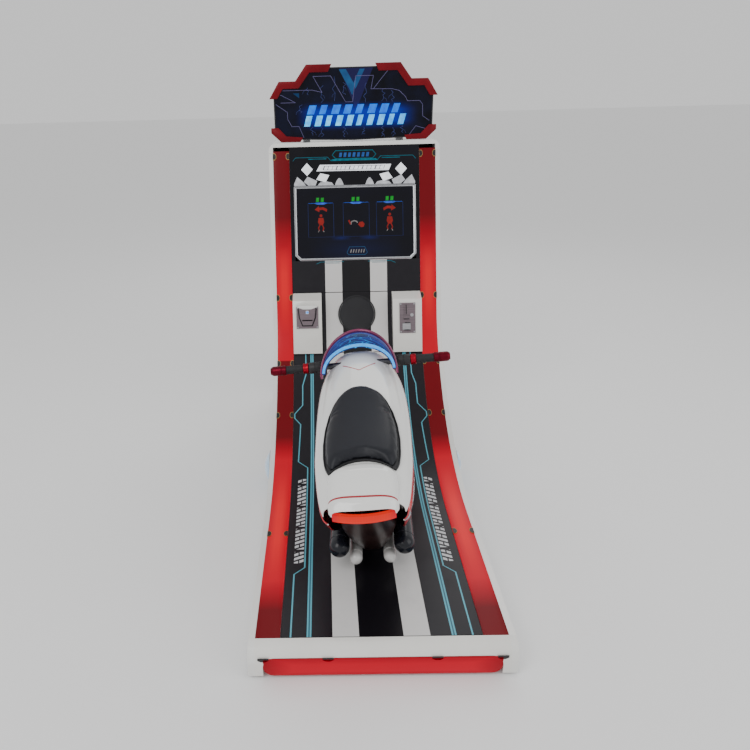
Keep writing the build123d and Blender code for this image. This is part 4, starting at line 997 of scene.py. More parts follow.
class CABINET_OT_deck_domes(bpy.types.Operator):
    """Pale blue lamp domes on the side panels"""
    bl_idname = "cabinet.deck_domes"
    bl_label = "Deck domes"

    def execute(self, context):
        finish = Finish("dome_blue", (0.30, 0.45, 0.62), 0.12, coat=0.8, glow=0.35)
        cloud = finish.noise(22.0, 3.0).rise(0.3, 0.75)
        finish.set("Emission Color", finish.mix(cloud, (0.22, 0.40, 0.62), (0.55, 0.70, 0.82)))
        finish.set("Base Color", finish.mix(cloud, (0.25, 0.40, 0.56), (0.50, 0.62, 0.72)))
        radius, height = 0.066, 0.027
        curve = (radius ** 2 + height ** 2) / (2 * height)
        stations = []
        for n in range(11):
            share = math.radians(90) * n / 10
            ring = radius * math.cos(share) + 0.0006
            level = math.sqrt(max(curve ** 2 - (ring * 0.999) ** 2, 0)) - (curve - height)
            stations.append((max(level, 0.0) if n else -0.001, max(ring, 0.002)))
        domes = []
        for side in (-1, 1):
            dome = turned("dome", stations, (side * DOME_OUT, nose(DOME_BACK), DOME_HEIGHT), (side, 0, 0), 56)
            collar = turned("collar", [(-0.001, 0.0665), (0.003, 0.0665), (0.0042, 0.0655),
                                       (0.0042, 0.0625)],
                            (side * DOME_OUT, nose(DOME_BACK), DOME_HEIGHT), (side, 0, 0), 56)
            domes.append((dome, collar))
        glass = join("deck_domes", [pair[0] for pair in domes])
        rims = join("deck_dome_rims", [pair[1] for pair in domes])
        ride(smooth(glass, 50), "cabinet", finish.material, "red_lens", ("lamp_lenses",))
        ride(smooth(rims, 30), "cabinet", brushed("rim_silver", (0.55, 0.56, 0.58), 0.3), "red_lens",
             ("lamp_lenses",))
        return {"FINISHED"}


class CABINET_OT_lens_clips(bpy.types.Operator):
    """Black clips with a gold edge that hold the lenses"""
    bl_idname = "cabinet.lens_clips"
    bl_label = "Lens clips"

    def execute(self, context):
        sizes = context.scene.cabinet_shell
        plates_black, plates_gold = [], []

        def half_hexagon(along, reach):
            return [(0, -along / 2), (reach * 0.62, -along / 2), (reach, -along * 0.2),
                    (reach, along * 0.2),
                    (reach * 0.62, along / 2), (0, along / 2)]

        for side in (-1, 1):
            for edge, inward in ((RAIL_IN, 1), (RAIL_OUT + 0.001, -1)):
                for s in (0.444, 1.053, 1.290, 1.578, 2.172):

                    def place(a, b, out):
                        return ramp(side * (edge + inward * a), s + b, sizes.lens_height + 0.0009 + out)
                    black = [(a * 0.88 + 0.0004, b * 0.86) for a, b in half_hexagon(0.028, 0.014)]
                    plates_gold.append(plate("gold", half_hexagon(0.028, 0.014), place,
                                             sizes.clip_height * 0.5))
                    plates_black.append(plate("black", black, place, sizes.clip_height * 0.7))
        gold = brushed("clip_gold", (0.50, 0.33, 0.12), 0.35)
        ride(join("lens_clip_edges", plates_gold), "cabinet", gold, "clip_black", ("lens_clips",))
        ride(join("lens_clip_plates", plates_black), "cabinet", moulded("clip_black", (0.012, 0.011, 0.012),
                                                            0.35),
             "clip_black", ("lens_clips",))
        front = nose(0.0)
        lugs = []
        for x in (-0.318, -0.145, 0.145, 0.318):
            def flat(a, b, out):
                return Vector((x + b, front + 0.0002 - min(out, 0.0002), 0.0660 + 0.0035 - a))
            lugs.append(plate("lug", half_hexagon(0.030, 0.013), flat, 0.0002))
        ride(join("nose_clips", lugs), "cabinet", moulded("lug_black", (0.02, 0.018, 0.02), 0.35),
             "clip_black",
             ("lens_clips",))
        return {"FINISHED"}


def card_art():
    """The picture's parts, in x across and t up the tower: finish name to outlines."""
    art = {"green": [], "blue_line": [], "glow": [], "red": [], "grey": [], "badge": []}
    for centre in (-.148, .003, .147):
        for x in (centre - .0100, centre + .0100):
            art["green"].append([(x - .0070, .4600), (x - .0055, .4775), (x + .0070, .4775),
                                 (x + .0055, .4600)])
    for left, right in ((-.199, -.091), (-.050, .060), (.091, .203)):
        corners = [(left, .312), (left, .454), (right, .454), (right, .312)]
        art["blue_line"] += strokes([corners[3], corners[0]], .0010)
        art["blue_line"] += strokes(corners, .0018)
        middle = (left + right) / 2
        art["glow"].append([(middle - .030, .4545), (middle - .014, .4490), (middle + .014, .4490),
                            (middle + .030, .4545), (middle + .018, .4570), (middle - .018, .4570)])
        art["glow"] += strokes([(left + .004, .4545), (right - .004, .4545)], .0016)
    for x, way in ((-.145, -1), (.147, 1)):
        art["red"].append([(x - way * .025, .418), (x - way * .008, .427), (x + way * .006, .425),
                           (x + way * .006, .417),
                           (x + way * .026, .428), (x + way * .008, .443), (x + way * .008, .436),
                           (x - way * .010, .438), (x - way * .027, .429)])
        art["red"].append(disc_outline(x, .4020, .0062, 14))
        art["red"].append([(x - .010, .393), (x + .010, .393), (x + .013, .375), (x + .007, .362),
                           (x - .007, .362),
                           (x - .013, .375)])
        for leg in (-1, 1):
            art["red"] += strokes([(x + leg * .006, .362), (x + leg * .011, .350), (x + leg * .008, .340)],
                                  .0045)
            art["grey"] += strokes([(x + leg * .008, .341), (x + leg * .012, .334)], .0030)
    arc = [(-.004 + .014 * math.cos(turn), .368 + .010 * math.sin(turn)) for turn in (0.3, 0.9, 1.57, 2.3,
                                                            2.9, 3.5)]
    art["grey"] += strokes(arc, .0045)
    art["red"] += strokes([(-.026, .378), (-.020, .366)], .0070)
    art["red"].append([(.012, .362), (.024, .350), (.036, .352), (.040, .364), (.032, .374), (.018, .372)])
    badge = [(-.037, .244), (-.026, .268), (.039, .268), (.050, .244), (.041, .235), (-.030, .235)]
    art["badge"] += strokes(badge + badge[:1], .0022)
    for n in range(6):
        art["grey"] += strokes([(-.021 + n * .011, .2450), (-.018 + n * .011, .2560)], .0042)
    return art


class CABINET_OT_display(bpy.types.Operator):
    """The display: its chamfered silver bezel, the dark picture and the lit cards on it"""
    bl_idname = "cabinet.display"
    bl_label = "Display"

    def execute(self, context):
        low, high, half, cut = SCREEN_LOW, SCREEN_HIGH, SCREEN_HALF, 0.022
        outer = [(-half + cut, low), (half - cut, low), (half, low + cut), (half, high - .004),
                 (half - .004, high),
                 (-half + .004, high), (-half, high - .004), (-half, low + cut)]
        step = 0.0095
        inner = [(-half + cut + step * .42, low + step), (half - cut - step * .42, low + step),
                 (half - step, low + cut + step * .42), (half - step, high - step),
                 (half - step, high - step),
                 (-half + step, high - step), (-half + step, high - step),
                 (-half + step, low + cut + step * .42)]
        rings = []
        for share_out, share_in, lift_out, lift_in in ((0.0, 0.36, 0.0008, 0.0026),
                                                       (0.46, 1.0, 0.0024, 0.0008)):
            a = [Vector(p) + (Vector(q) - Vector(p)) * share_out for p, q in zip(outer, inner)]
            b = [Vector(p) + (Vector(q) - Vector(p)) * share_in for p, q in zip(outer, inner)]
            for n in range(8):
                m = (n + 1) % 8
                corners = [(a[n], lift_out), (a[m], lift_out), (b[m], lift_in), (b[n], lift_in)]
                piece = primitive("grid", "bezel_side", x_subdivisions=1, y_subdivisions=1, size=1)
                spots = {(False, False): 0, (True, False): 1, (True, True): 2, (False, True): 3}
                for vert in piece.data.vertices:
                    spot, lift = corners[spots[(vert.co.x > 0, vert.co.y > 0)]]
                    vert.co = tower(spot.x, spot.y, lift)
                piece.data.update()
                rings.append(piece)
        bezel = tidy_mesh(join("display_bezel_frame", rings), 0.0002)
        facing = sum((poly.normal for poly in bezel.data.polygons), Vector())
        if facing.dot(Vector(FACE_AIM)) < 0:
            flip(bezel)
        modify(bezel, "SOLIDIFY", thickness=0.0012, offset=-1.0)
        ride(bezel, "cabinet", brushed("bezel_silver", (0.56, 0.57, 0.60), 0.26, (60.0, 3.0, 3.0)),
             "silver_bezel",
             ("display_bezel",))

        def picture(u, v):
            return tower((u * 2 - 1) * (half - step * .9), low + step * .9 + (high - low - step * 1.8) * v,
                         0.0007)

        def mapping(u, v):
            return ((u * 2 - 1) * (half - step), (high - low - step * 2) * v)
        glass = slab("display_picture", 4, 4, picture, 0.0006, mapping, up=FACE_AIM)
        ride(glass, "cabinet", screen_picture(), "display", ("display_panel",))
        art = card_art()
        finishes = {"green": glowing("picture_green", (0.0, 0.32, 0.02), (0.0, 0.16, 0.01), 1.0),
                    "blue_line": glowing("picture_line", (0.010, 0.020, 0.110), (0.004, 0.008, 0.045), 1.0,
                                         14.0),
                    "glow": glowing("picture_glow", (0.05, 0.16, 0.80), (0.01, 0.05, 0.40), 1.0),
                    "red": glowing("picture_red", (0.30, 0.012, 0.008), (0.14, 0.008, 0.006), 1.0),
                    "grey": glowing("picture_grey", (0.26, 0.25, 0.24), (0.12, 0.10, 0.10), 1.0),
                    "badge": glowing("picture_badge", (0.01, 0.07, 0.16), (0.01, 0.04, 0.12), 1.0)}

        def place(a, b, out):
            return tower(a, b, 0.0007 + out)
        for key, outlines in art.items():
            ride(plates("picture_" + key, outlines, place, 0.0003), "cabinet", finishes[key], "display",
                 ("display_panel",))
        return {"FINISHED"}


class CABINET_OT_sign(bpy.types.Operator):
    """The sign's lit face: dark print, pale outlines, lit blocks and red wings"""
    bl_idname = "cabinet.sign"
    bl_label = "Sign"

    def execute(self, context):
        sizes = context.scene.cabinet_sign
        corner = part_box("marquee_face")[0]
        base, front = corner.z, corner.y

        def place(a, b, out):
            return Vector((a, front - 0.0003 - out, base + b))
        coat("marquee_face", sign_print())
        lines = [[(-.166, .248), (-.093, .248), (-.032, .147), (-.003, .147), (.010, .246), (.083, .246),
                  (.073, .195),
                  (.161, .193), (.190, .186), (.217, .161), (.225, .145), (.276, .145), (.288, .131),
                  (.290, .085),
                  (.318, .066)],
                 [(-.166, .248), (-.129, .186), (-.171, .196), (-.292, .196)],
                 [(-.302, .149), (-.241, .149), (-.302, .180)],
                 [(-.322, .143), (-.276, .112), (-.276, .085), (-.259, .055), (-.229, .055), (-.210, .010)],
                 [(.318, .030), (.262, .046), (.236, .012)], [(.083, .195), (.140, .262)],
                 [(-.196, .262), (-.150, .276), (-.110, .272)], [(-.316, .170), (-.290, .208),
                                                            (-.228, .210), (-.184, .268)],
                 [(.316, .170), (.290, .208), (.228, .210), (.184, .268)]]
        pale = []
        for line in lines:
            pale += strokes(line, sizes.outline_width)
        ride(plates("sign_outlines", pale, place, 0.0005), "cabinet",
             glowing("sign_pale", (0.150, 0.135, 0.280), (0.075, 0.065, 0.180), 1.0), "sign_face")
        blue = [[(-.059, .272), (-.030, .272), (.006, .212), (-.004, .172), (-.016, .196)],
                [(.047, .272), (.026, .272), (.002, .222), (.008, .196), (.014, .206)]]
        ride(plates("sign_chevron", blue, place, 0.0004), "cabinet",
             glowing("sign_sky", (0.010, 0.090, 0.230), (0.006, 0.035, 0.130), 1.0, 30.0), "sign_face")
        cracks = []
        for n, (x, high_z, low_z) in enumerate(((-.190, .206, .178), (-.132, .212, .146),
                                                (-.078, .245, .152),
                                                (-.039, .222, .176), (.050, .218, .144), (.124, .192, .146),
                                                (.163, .187, .144), (-.175, .052, .018),
                                                (-.132, .058, .012),
                                                (-.039, .048, .008), (.043, .046, .018), (.124, .048, .008),
                                                (.171, .042, .006), (.205, .050, .020),
                                                (-.222, .140, .108))):
            path = []
            for step in range(7):
                share = step / 6
                sway = 0.0055 * math.sin(step * 2.4 + n * 1.9) + 0.003 * math.sin(step * 5.1 + n)
                path.append((x + sway, high_z + (low_z - high_z) * share))
            cracks += strokes(path, .0011)
            fork = path[2 + n % 3]
            reach = 0.010 if n % 2 else -0.010
            cracks += strokes([fork, (fork[0] + reach, fork[1] - .007),
                               (fork[0] + reach * 1.3, fork[1] - .016)], .0008)
        ride(plates("sign_cracks", cracks, place, 0.0003), "cabinet",
             glowing("sign_crack", (0.030, 0.050, 0.190), (0.075, 0.085, 0.260), 1.0), "sign_face")
        blocks = []
        for x0, x1, z0, z1, count in ((-.208, .228, .054, .096, 10), (-.195, .208, .101, .137, 8)):
            pitch = (x1 - x0) / count
            for n in range(count):
                left, right = x0 + n * pitch, x0 + (n + 1) * pitch - .005
                slant = .012
                wide = (right - left - slant) * (.80 + .20 * math.sin(n * 2.1 + z0 * 40) ** 2)
                blocks.append([(left, z0), (left + slant, z1), (left + slant + wide, z1),
                               (left + wide, z0)])

        def raised(a, b, out):
            return place(a, b, 0.0004 + out)
        ride(plates("sign_blocks", blocks, raised, sizes.block_depth), "cabinet", sign_block_glow(),
             "sign_face")
        red = Finish("wing_red", tuple(sizes.wing_red), 0.32, metallic=0.1, specular=0.15)
        cloud = red.noise(14.0, 4.0).rise(0.3, 0.8)
        red.set("Base Color", red.mix(cloud, (0.13, 0.003, 0.007), (0.22, 0.006, 0.012)))
        red.bump(red.noise(400.0, 2.0), 0.04, 0.0004)
        wings = softened("wing_shells", "marquee_wings", 0.0016, 2)
        ride(smooth(wings, 30), "cabinet", red.material, SLOTS["marquee_wings"], ("marquee_wings",))
        return {"FINISHED"}


def tower_patch(name, outline, lift, thick, material, slot_name, bevel=0.0):
    """A flat plate on the front of the money boxes."""
    piece = plate(name, outline, lambda a, b, out: tower(a, b, lift + out), thick)
    if bevel:
        modify(piece, "BEVEL", width=bevel, segments=2, limit_method="ANGLE", angle_limit=math.radians(60))
        smooth(piece, 30)
    return ride(piece, "cabinet", material, slot_name)


def disc_outline(x, t, radius, count=36):
    return [(x + radius * math.cos(n / count * math.tau), t + radius * math.sin(n / count * math.tau))
            for n in range(count)]


class CABINET_OT_money_boxes(bpy.types.Operator):
    """Moulded note and coin boxes below the screen, with their metal plates"""
    bl_idname = "cabinet.money_boxes"
    bl_label = "Money boxes"

    def execute(self, context):
        shell = white_gloss("box_cream", (0.76, 0.755, 0.71))
        corner = context.scene.cabinet_shell.box_corner
        outward = (tower(0, 0, 1) - tower(0, 0, 0)).normalized()
        foot = tower(0, 0, 0)
        for name, node in (("note_box_shell", "note_box"), ("coin_box_shell", "coin_box")):
            middle = (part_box(node)[0].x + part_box(node)[1].x) / 2

            def outside(point):
                lift = (point - foot).dot(outward)
                t = (point - foot).dot((tower(0, 1, 0) - foot).normalized())
                in_mouth = abs(point.x - middle) < 0.046 and -0.105 < t < 0.030 and lift > 0.012
                return lift > 0.004 and not in_mouth
            piece = softened(name, node, corner, 5, outside)
            ride(smooth(piece, 30), "cabinet", shell, "white_shell", (node,))
        metal = brushed("plate_brushed", (0.24, 0.195, 0.215), 0.36, (3.0, 3.0, 90.0))
        for node in ("note_acceptor_bezel", "coin_plate"):
            coat(node, metal)
        for node in ("coin_return_button", "coin_return_flap"):
            coat(node, brushed(node + "_steel", (0.50, 0.50, 0.52), 0.28))
        coat("money_validators", moulded("validator_black", (0.015, 0.015, 0.017), 0.4))
        note_x, note_t, coin_x, coin_t = -0.211, -0.028, 0.211, -0.038
        ink = moulded("plate_ink", (0.004, 0.004, 0.005), 0.4)
        guide = [(note_x + x, note_t + t) for x, t in ((-.0385, .0400), (-.0340, -.0010), (-.0205, -.0350),
                                                       (.0205, -.0350), (.0340, -.0010), (.0385, .0400))]
        marks = strokes(guide, .0042)
        lift = 0.0542
        ride(plates("note_guide_line", marks, lambda a, b, out: tower(a, b, lift + out), 0.0006), "cabinet",
             ink,
             "faceplate")
        brow = [(note_x + x, note_t + t) for x, t in ((-.0450, .0450), (-.0300, .0500), (.0300, .0500),
                                                      (.0450, .0450),
                                                      (.0330, .0400), (.0160, .0345), (-.0160, .0345),
                                                      (-.0330, .0400))]
        tower_patch("note_brow", brow, 0.0652, 0.0022, white_gloss("brow_white", (0.80, 0.80, 0.78)),
                    "white_shell",
                    bevel=0.0007)
        light = disc_outline(note_x, note_t + .0215, .0058, 20)
        tower_patch("note_status_light", light, 0.0653, 0.0008,
                    glowing("note_status_light", (0.06, 0.30, 1.0), (0.30, 0.60, 1.1), 1.0), "light_board")
        trim = strokes([(coin_x - .006, coin_t + .018), (coin_x - .006, coin_t + .054)], .0034)
        trim += strokes([(coin_x - .015, coin_t - .004), (coin_x + .006, coin_t - .004)], .0030)
        trim += strokes([(coin_x - .010, coin_t - .020), (coin_x + .010, coin_t - .020)], .0030)
        trim += strokes([(coin_x - .013, coin_t - .051), (coin_x + .010, coin_t - .051)], .0036)
        ride(plates("coin_plate_lines", trim, lambda a, b, out: tower(a, b, 0.0582 + out), 0.0005),
             "cabinet", ink,
             "faceplate")
        return {"FINISHED"}


class CABINET_OT_speaker(bpy.types.Operator):
    """The round speaker grille between the money boxes"""
    bl_idname = "cabinet.speaker"
    bl_label = "Speaker"

    def execute(self, context):
        low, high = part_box("speaker_grille")
        radius = (high.x - low.x) / 2
        centre_t = -0.018
        proud = 0.0025

        def place(u, v):
            x, y = u * 2 - 1, v * 2 - 1
            reach = math.hypot(x, y)
            if reach > 1e-6:
                square = max(abs(x), abs(y)) / reach
                x, y = x * square, y * square
            dome = proud * (1 - (x * x + y * y)) * 0.8
            return ramp(x * (radius - .006), ARC2_S + centre_t + y * (radius - .006), 0.0034 + dome)
        mesh = slab("speaker_mesh", 28, 28, place, 0.001, lambda u, v: (u, v), up=FACE_AIM)
        ride(smooth(mesh, 60), "cabinet", perforated(), "black_plastic")
        ring = primitive("circle", "speaker_ring", vertices=72, radius=1)
        bpy.ops.object.mode_set(mode="EDIT")
        bpy.ops.mesh.select_all(action="SELECT")
        bpy.ops.mesh.extrude_edges_move()
        bpy.ops.transform.resize(value=(0.94, 0.94, 1), center_override=(0, 0, 0))
        bpy.ops.object.mode_set(mode="OBJECT")
        for vert in ring.data.vertices:
            vert.co = ramp(vert.co.x * radius, ARC2_S + centre_t + vert.co.y * radius, 0.0050)
        modify(tidy_mesh(ring), "SOLIDIFY", thickness=0.0018, offset=1.0)
        modify(ring, "BEVEL", width=0.0007, segments=2, limit_method="ANGLE", angle_limit=math.radians(50))
        ride(smooth(ring, 40), "cabinet", moulded("speaker_ring_black", (0.015, 0.015, 0.017), 0.35),
             "black_plastic", ("speaker_grille",))
        return {"FINISHED"}


class CABINET_OT_bike_shells(bpy.types.Operator):
    """White cowl, flashed side fairings, tail hump, under-tail bowl and the pods below them"""
    bl_idname = "cabinet.bike_shells"
    bl_label = "Bike shells"

    def execute(self, context):
        sizes = context.scene.bike_body
        waist, wall = sizes.waist, sizes.wall
        rear, front = 0.128, 0.8955

        def along(v):
            """Rows are closer together where the nose of the body closes."""
            return rear + (front - rear) * (1 - (1 - v) ** 1.35)

        def cowl_place(u, v):
            y = along(v)
            point = body_point(y, math.pi * u, waist + 0.0012)
            close = max(0.0, (y - 0.880) / (front - 0.880))
            return Vector((point.x * (1 - close * 0.75), point.y, point.z))

        def cowl_map(u, v):
            return (cowl_place(u, v).x, along(v))
        cowl = slab("main_cowl_shell", 44, 70, cowl_place, wall, cowl_map, up=(0, 0, 1))
        ride_bike(smooth(cowl, 60), cowl_gloss(), "white_shell", ("main_cowl",))
        sides = []
        for side in (-1, 1):
            def fairing_place(u, v):
                y = 0.152 + (0.892 - 0.152) * (1 - (1 - v) ** 1.25)
                reach = smooth_table(((.152, 34), (.22, 42), (.30, 56), (.40, 74), (.90, 74)), y, 0.02)
                angle = -math.radians(reach) * u
                point = body_point(y, angle, waist - 0.0012)
                crease = math.exp(-((u - 0.36) / 0.10) ** 2) * 0.0045 * min(1.0, (y - 0.15) / 0.1)
                return Vector((side * (abs(point.x) - crease), point.y, point.z))

            def fairing_map(u, v):
                point = fairing_place(u, v)
                return (point.y - NOSE_Y, point.z)
            sides.append(slab("fairing", 28, 64, fairing_place, wall, fairing_map, up=(side, 0, 0)))
        fairings = join("side_fairing_shells", sides)
        ride_bike(smooth(fairings, 60), fairing_gloss(), "white_shell", ("side_fairings",))

        hump_top = ((.094, .462), (.104, .479), (.125, .491), (.16, .507), (.205, .5205), (.235, .5190),
                    (.258, .506),
                    (.2655, .480))
        hump_half = ((.094, .084), (.112, .0935), (.2, .0975), (.24, .0960), (.262, .0905), (.2655, .088))

        def hump_place(u, v):
            y = 0.0945 + (0.2650 - 0.0945) * v
            across = u * 2 - 1
            top = smooth_table(hump_top, y, 0.008)
            half = smooth_table(hump_half, y, 0.008)
            foot_z = 0.4465 + max(0.0, (y - 0.15)) * 0.20
            turn = math.copysign(1, across) * abs(across) ** 0.8
            angle = math.pi / 2 * (1 - turn)
            x = half * math.copysign(abs(math.cos(angle)) ** 0.55, math.cos(angle))
            z = foot_z + (top - foot_z) * abs(math.sin(angle)) ** 0.62
            bow = (x / 0.095) ** 2
            y -= 0.034 * bow * max(0.0, (y - 0.150) / 0.115)
            y += 0.010 * bow * max(0.0, (0.150 - y) / 0.055)
            return Vector((x, nose(y), z))

        def hump_map(u, v):
            return (hump_place(u, v).x, 0.0945 + 0.1705 * v)
        hump = slab("tail_hump", 48, 34, hump_place, wall, hump_map, up=(0, 0, 1))
        ride_bike(smooth(hump, 60), hump_gloss(), "white_shell", ("tail_cowl",))

        bowl_rings = ((.423, .345, .094, .240), (.372, .357, .0935, .219), (.320, .370, .0920, .196),
                      (.270, .387, .0870, .171), (.220, .405, .0760, .142), (.185, .415, .0660, .120),
                      (.150, .425, .0500, .094), (.134, .430, .0260, .056), (.1315, .432, .004, .010))

        def bowl_value(z, column):
            return smooth_table([(ring[0], ring[column]) for ring in reversed(bowl_rings)], z, 0.010)

        def bowl_place(u, v):
            z = 0.4225 - (0.4225 - 0.1318) * v
            angle = math.pi * u
            x = bowl_value(z, 2) * math.copysign(abs(math.cos(angle)) ** 0.8, math.cos(angle))
            y = bowl_value(z, 1) - bowl_value(z, 3) * abs(math.sin(angle)) ** 0.8
            return Vector((x, nose(min(y, 0.381)), z))
        bowl = slab("undertail_bowl", 40, 40, bowl_place, wall, None, up=(0, -1, 0))
        dark = Finish("undertail_brown", (0.016, 0.006, 0.006), 0.36, specular=0.3)
        cloud = dark.noise(9.0, 4.0).rise(0.35, 0.75)
        dark.set("Base Color", dark.mix(cloud, (0.011, 0.0045, 0.0045), (0.026, 0.008, 0.006)))
        dark.set("Roughness", cloud * 0.14 + 0.30)
        dark.bump(dark.noise(300.0, 2.0), 0.05, 0.0004)
        ride_bike(smooth(bowl, 60), dark.material, "undertail_dark", ("undertail_shell",))

        lobe_black = moulded("lobe_black", (0.007, 0.008, 0.013), 0.22, 500.0, 0.05)
        pod_grey = white_gloss("pod_grey", (0.60, 0.59, 0.58))
        for name, node, finish, x, z, radius, y0, y1 in (
                ("foot_pod_shells", "foot_pods", lobe_black, .098, .188, .031, .276, .640),
                ("belly_pod_shells", "belly_pods", pod_grey, .052, .142, .020, .290, .420)):
            both = []
            for side in (-1, 1):
                stations = []
                for n in range(7):
                    turn = math.pi / 2 * n / 6
                    stations.append((y0 + radius * (1 - math.cos(turn)) + .0004,
                                     max(radius * math.sin(turn), .0015)))
                middle = y0 + radius * 1.5
                stations += [(middle, radius), (middle + .0012, radius - .0014),
                             (middle + .0036, radius - .0014),
                             (middle + .0048, radius)]
                for n in range(7):
                    turn = math.pi / 2 * (6 - n) / 6
                    stations.append((y1 - radius * (1 - math.cos(turn)) - .0004,
                                     max(radius * math.sin(turn), .0015)))
                spot = (side * x, nose(0), z)
                both.append(turned("pod", stations, spot, (0, 1, 0), 36))
            ride_bike(smooth(join(name, both), 40), finish, SLOTS[node], (node,))
        return {"FINISHED"}


class CABINET_OT_bike_seat(bpy.types.Operator):
    """The stuffed egg-shaped seat, its base and its welt"""
    bl_idname = "cabinet.bike_seat"
    bl_label = "Bike seat"

    def execute(self, context):
        sizes = context.scene.bike_body
        waist = sizes.waist
        half_table = ((.236, .089), (.246, .096), (.27, .104), (.31, .1095), (.372, .112), (.44, .1085),
                      (.50, .0985),
                      (.55, .0820), (.585, .0620), (.602, .0440), (.609, .0280), (.613, .0120))

        def spot(u, v, grow=0.0):
            y = 0.239 + (0.611 + grow - 0.239) * (1 - (1 - v) ** 1.4)
            half = smooth_table(half_table, y, 0.006) + grow
            across = u * 2 - 1
            hollow = 0.036 * (1 - v) ** 5 * (1 - across ** 2)
            return half * across, y + hollow, across

        def hull_z(x, y):
            half = smooth_table(BODY_HALF, y)
            share = min(abs(x) / half, 0.985)
            return waist + (smooth_table(BODY_TOP, y) - waist) * (1 - share ** TOP_ROUND) ** (1 / TOP_ROUND)

        def skin(level, crown, grow=0.0):
            def place(u, v):
                x, y, across = spot(u, v, grow)
                side = min(1.0, (1 - abs(across)) * smooth_table(half_table, y, 0.006) / 0.030)
                ends = min(1.0, v * 0.375 / 0.030) * min(1.0, (1 - v) ** 0.8 * 0.375 / 0.045)
                rise = crown * math.sqrt(max(0.0, 1 - (1 - side) ** 2)) * math.sqrt(max(0.0,
                                                            1 - (1 - ends) ** 2))
                return Vector((x, nose(y), hull_z(x, y) + level + rise))
            return place

        top = form("seat_top", 56, 90, skin(0.0050, 0.0195))
        low = form("seat_bottom", 56, 90, skin(0.0050, 0.0))
        pad = tidy_mesh(join("seat_pad_soft", [top, low]), 0.0004)
        modify(pad, "REMESH", mode="VOXEL", voxel_size=SEAT_VOXEL)
        start = [vert.co.copy() for vert in pad.data.vertices]
        pick(pad)
        cloth = pad.modifiers.new("Cloth", "CLOTH")
        cloth.settings.use_pressure = True
        cloth.settings.uniform_pressure_force = sizes.seat_pressure
        cloth.settings.effector_weights.gravity = 0
        cloth.settings.quality = 5
        cloth.point_cache.frame_start = 1
        cloth.point_cache.frame_end = SEAT_FRAMES
        for step in range(1, SEAT_FRAMES + 1):
            context.scene.frame_set(step)
        bpy.ops.object.modifier_apply(modifier="Cloth")
        context.scene.frame_set(1)
        for vert, before in zip(pad.data.vertices, start):
            move = vert.co - before
            cap = sizes.seat_swell
            if move.length > cap:
                move = move.normalized() * cap
            vert.co = before + move
        modify(pad, "SUBSURF", levels=1, render_levels=1)
        smooth(pad, 70)
        ride_bike(pad, seat_vinyl(), "seat_vinyl", ("seat_pad",))

        edge = skin(0.0066, 0.0)
        rim = [edge(0.0, n / 39) for n in range(40)]
        rim += [edge(n / 9, 1.0) for n in range(1, 9)]
        rim += [edge(1.0, n / 39) for n in range(39, -1, -1)]
        rim += [edge(n / 9, 0.0) for n in range(8, 0, -1)]
        rounds = 8
        count = len(rim)

        def welt_place(u, v):
            at = int(round(v * count)) % count
            middle, ahead, behind = rim[at], rim[(at + 1) % count], rim[(at - 1) % count]
            way = (ahead - behind).normalized()
            side = way.cross(Vector((0, 0, 1))).normalized()
            turn = u * math.tau
            return middle + side * math.cos(turn) * 0.0021 + side.cross(way) * math.sin(turn) * 0.0021
        welt = tidy_mesh(form("seat_welt", rounds, count, welt_place), 0.00003)
        ride_bike(smooth(welt, 80), moulded("welt_black", (0.010, 0.010, 0.012), 0.35), "seat_vinyl",
                  ("seat_pad",))

        base = form("seat_base_top", 56, 90, skin(0.0046, 0.0, 0.0015))
        base_low = form("seat_base_low", 56, 90, skin(0.0006, 0.0, 0.0015))
        base = join("seat_base_plate", [base, base_low])
        pick(base)
        bpy.ops.object.mode_set(mode="EDIT")
        bpy.ops.mesh.select_all(action="DESELECT")
        bpy.ops.mesh.select_mode(type="EDGE")
        bpy.ops.mesh.select_non_manifold()
        bpy.ops.mesh.bridge_edge_loops()
        bpy.ops.mesh.select_all(action="SELECT")
        bpy.ops.mesh.normals_make_consistent(inside=False)
        bpy.ops.object.mode_set(mode="OBJECT")
        ride_bike(smooth(base, 40), moulded("seat_base_black", (0.012, 0.012, 0.014), 0.4), "black_plastic",
                  ("seat_base",))
        return {"FINISHED"}


DASH_TILT = math.radians(20)


def dash_point(x, out, lift):
    """A point on the tilted dash: out runs forward from its middle."""
    return Vector((x, nose(0.690) + out * math.cos(DASH_TILT) - lift * math.sin(DASH_TILT),
                   0.578 + out * math.sin(DASH_TILT) + lift * math.cos(DASH_TILT)))


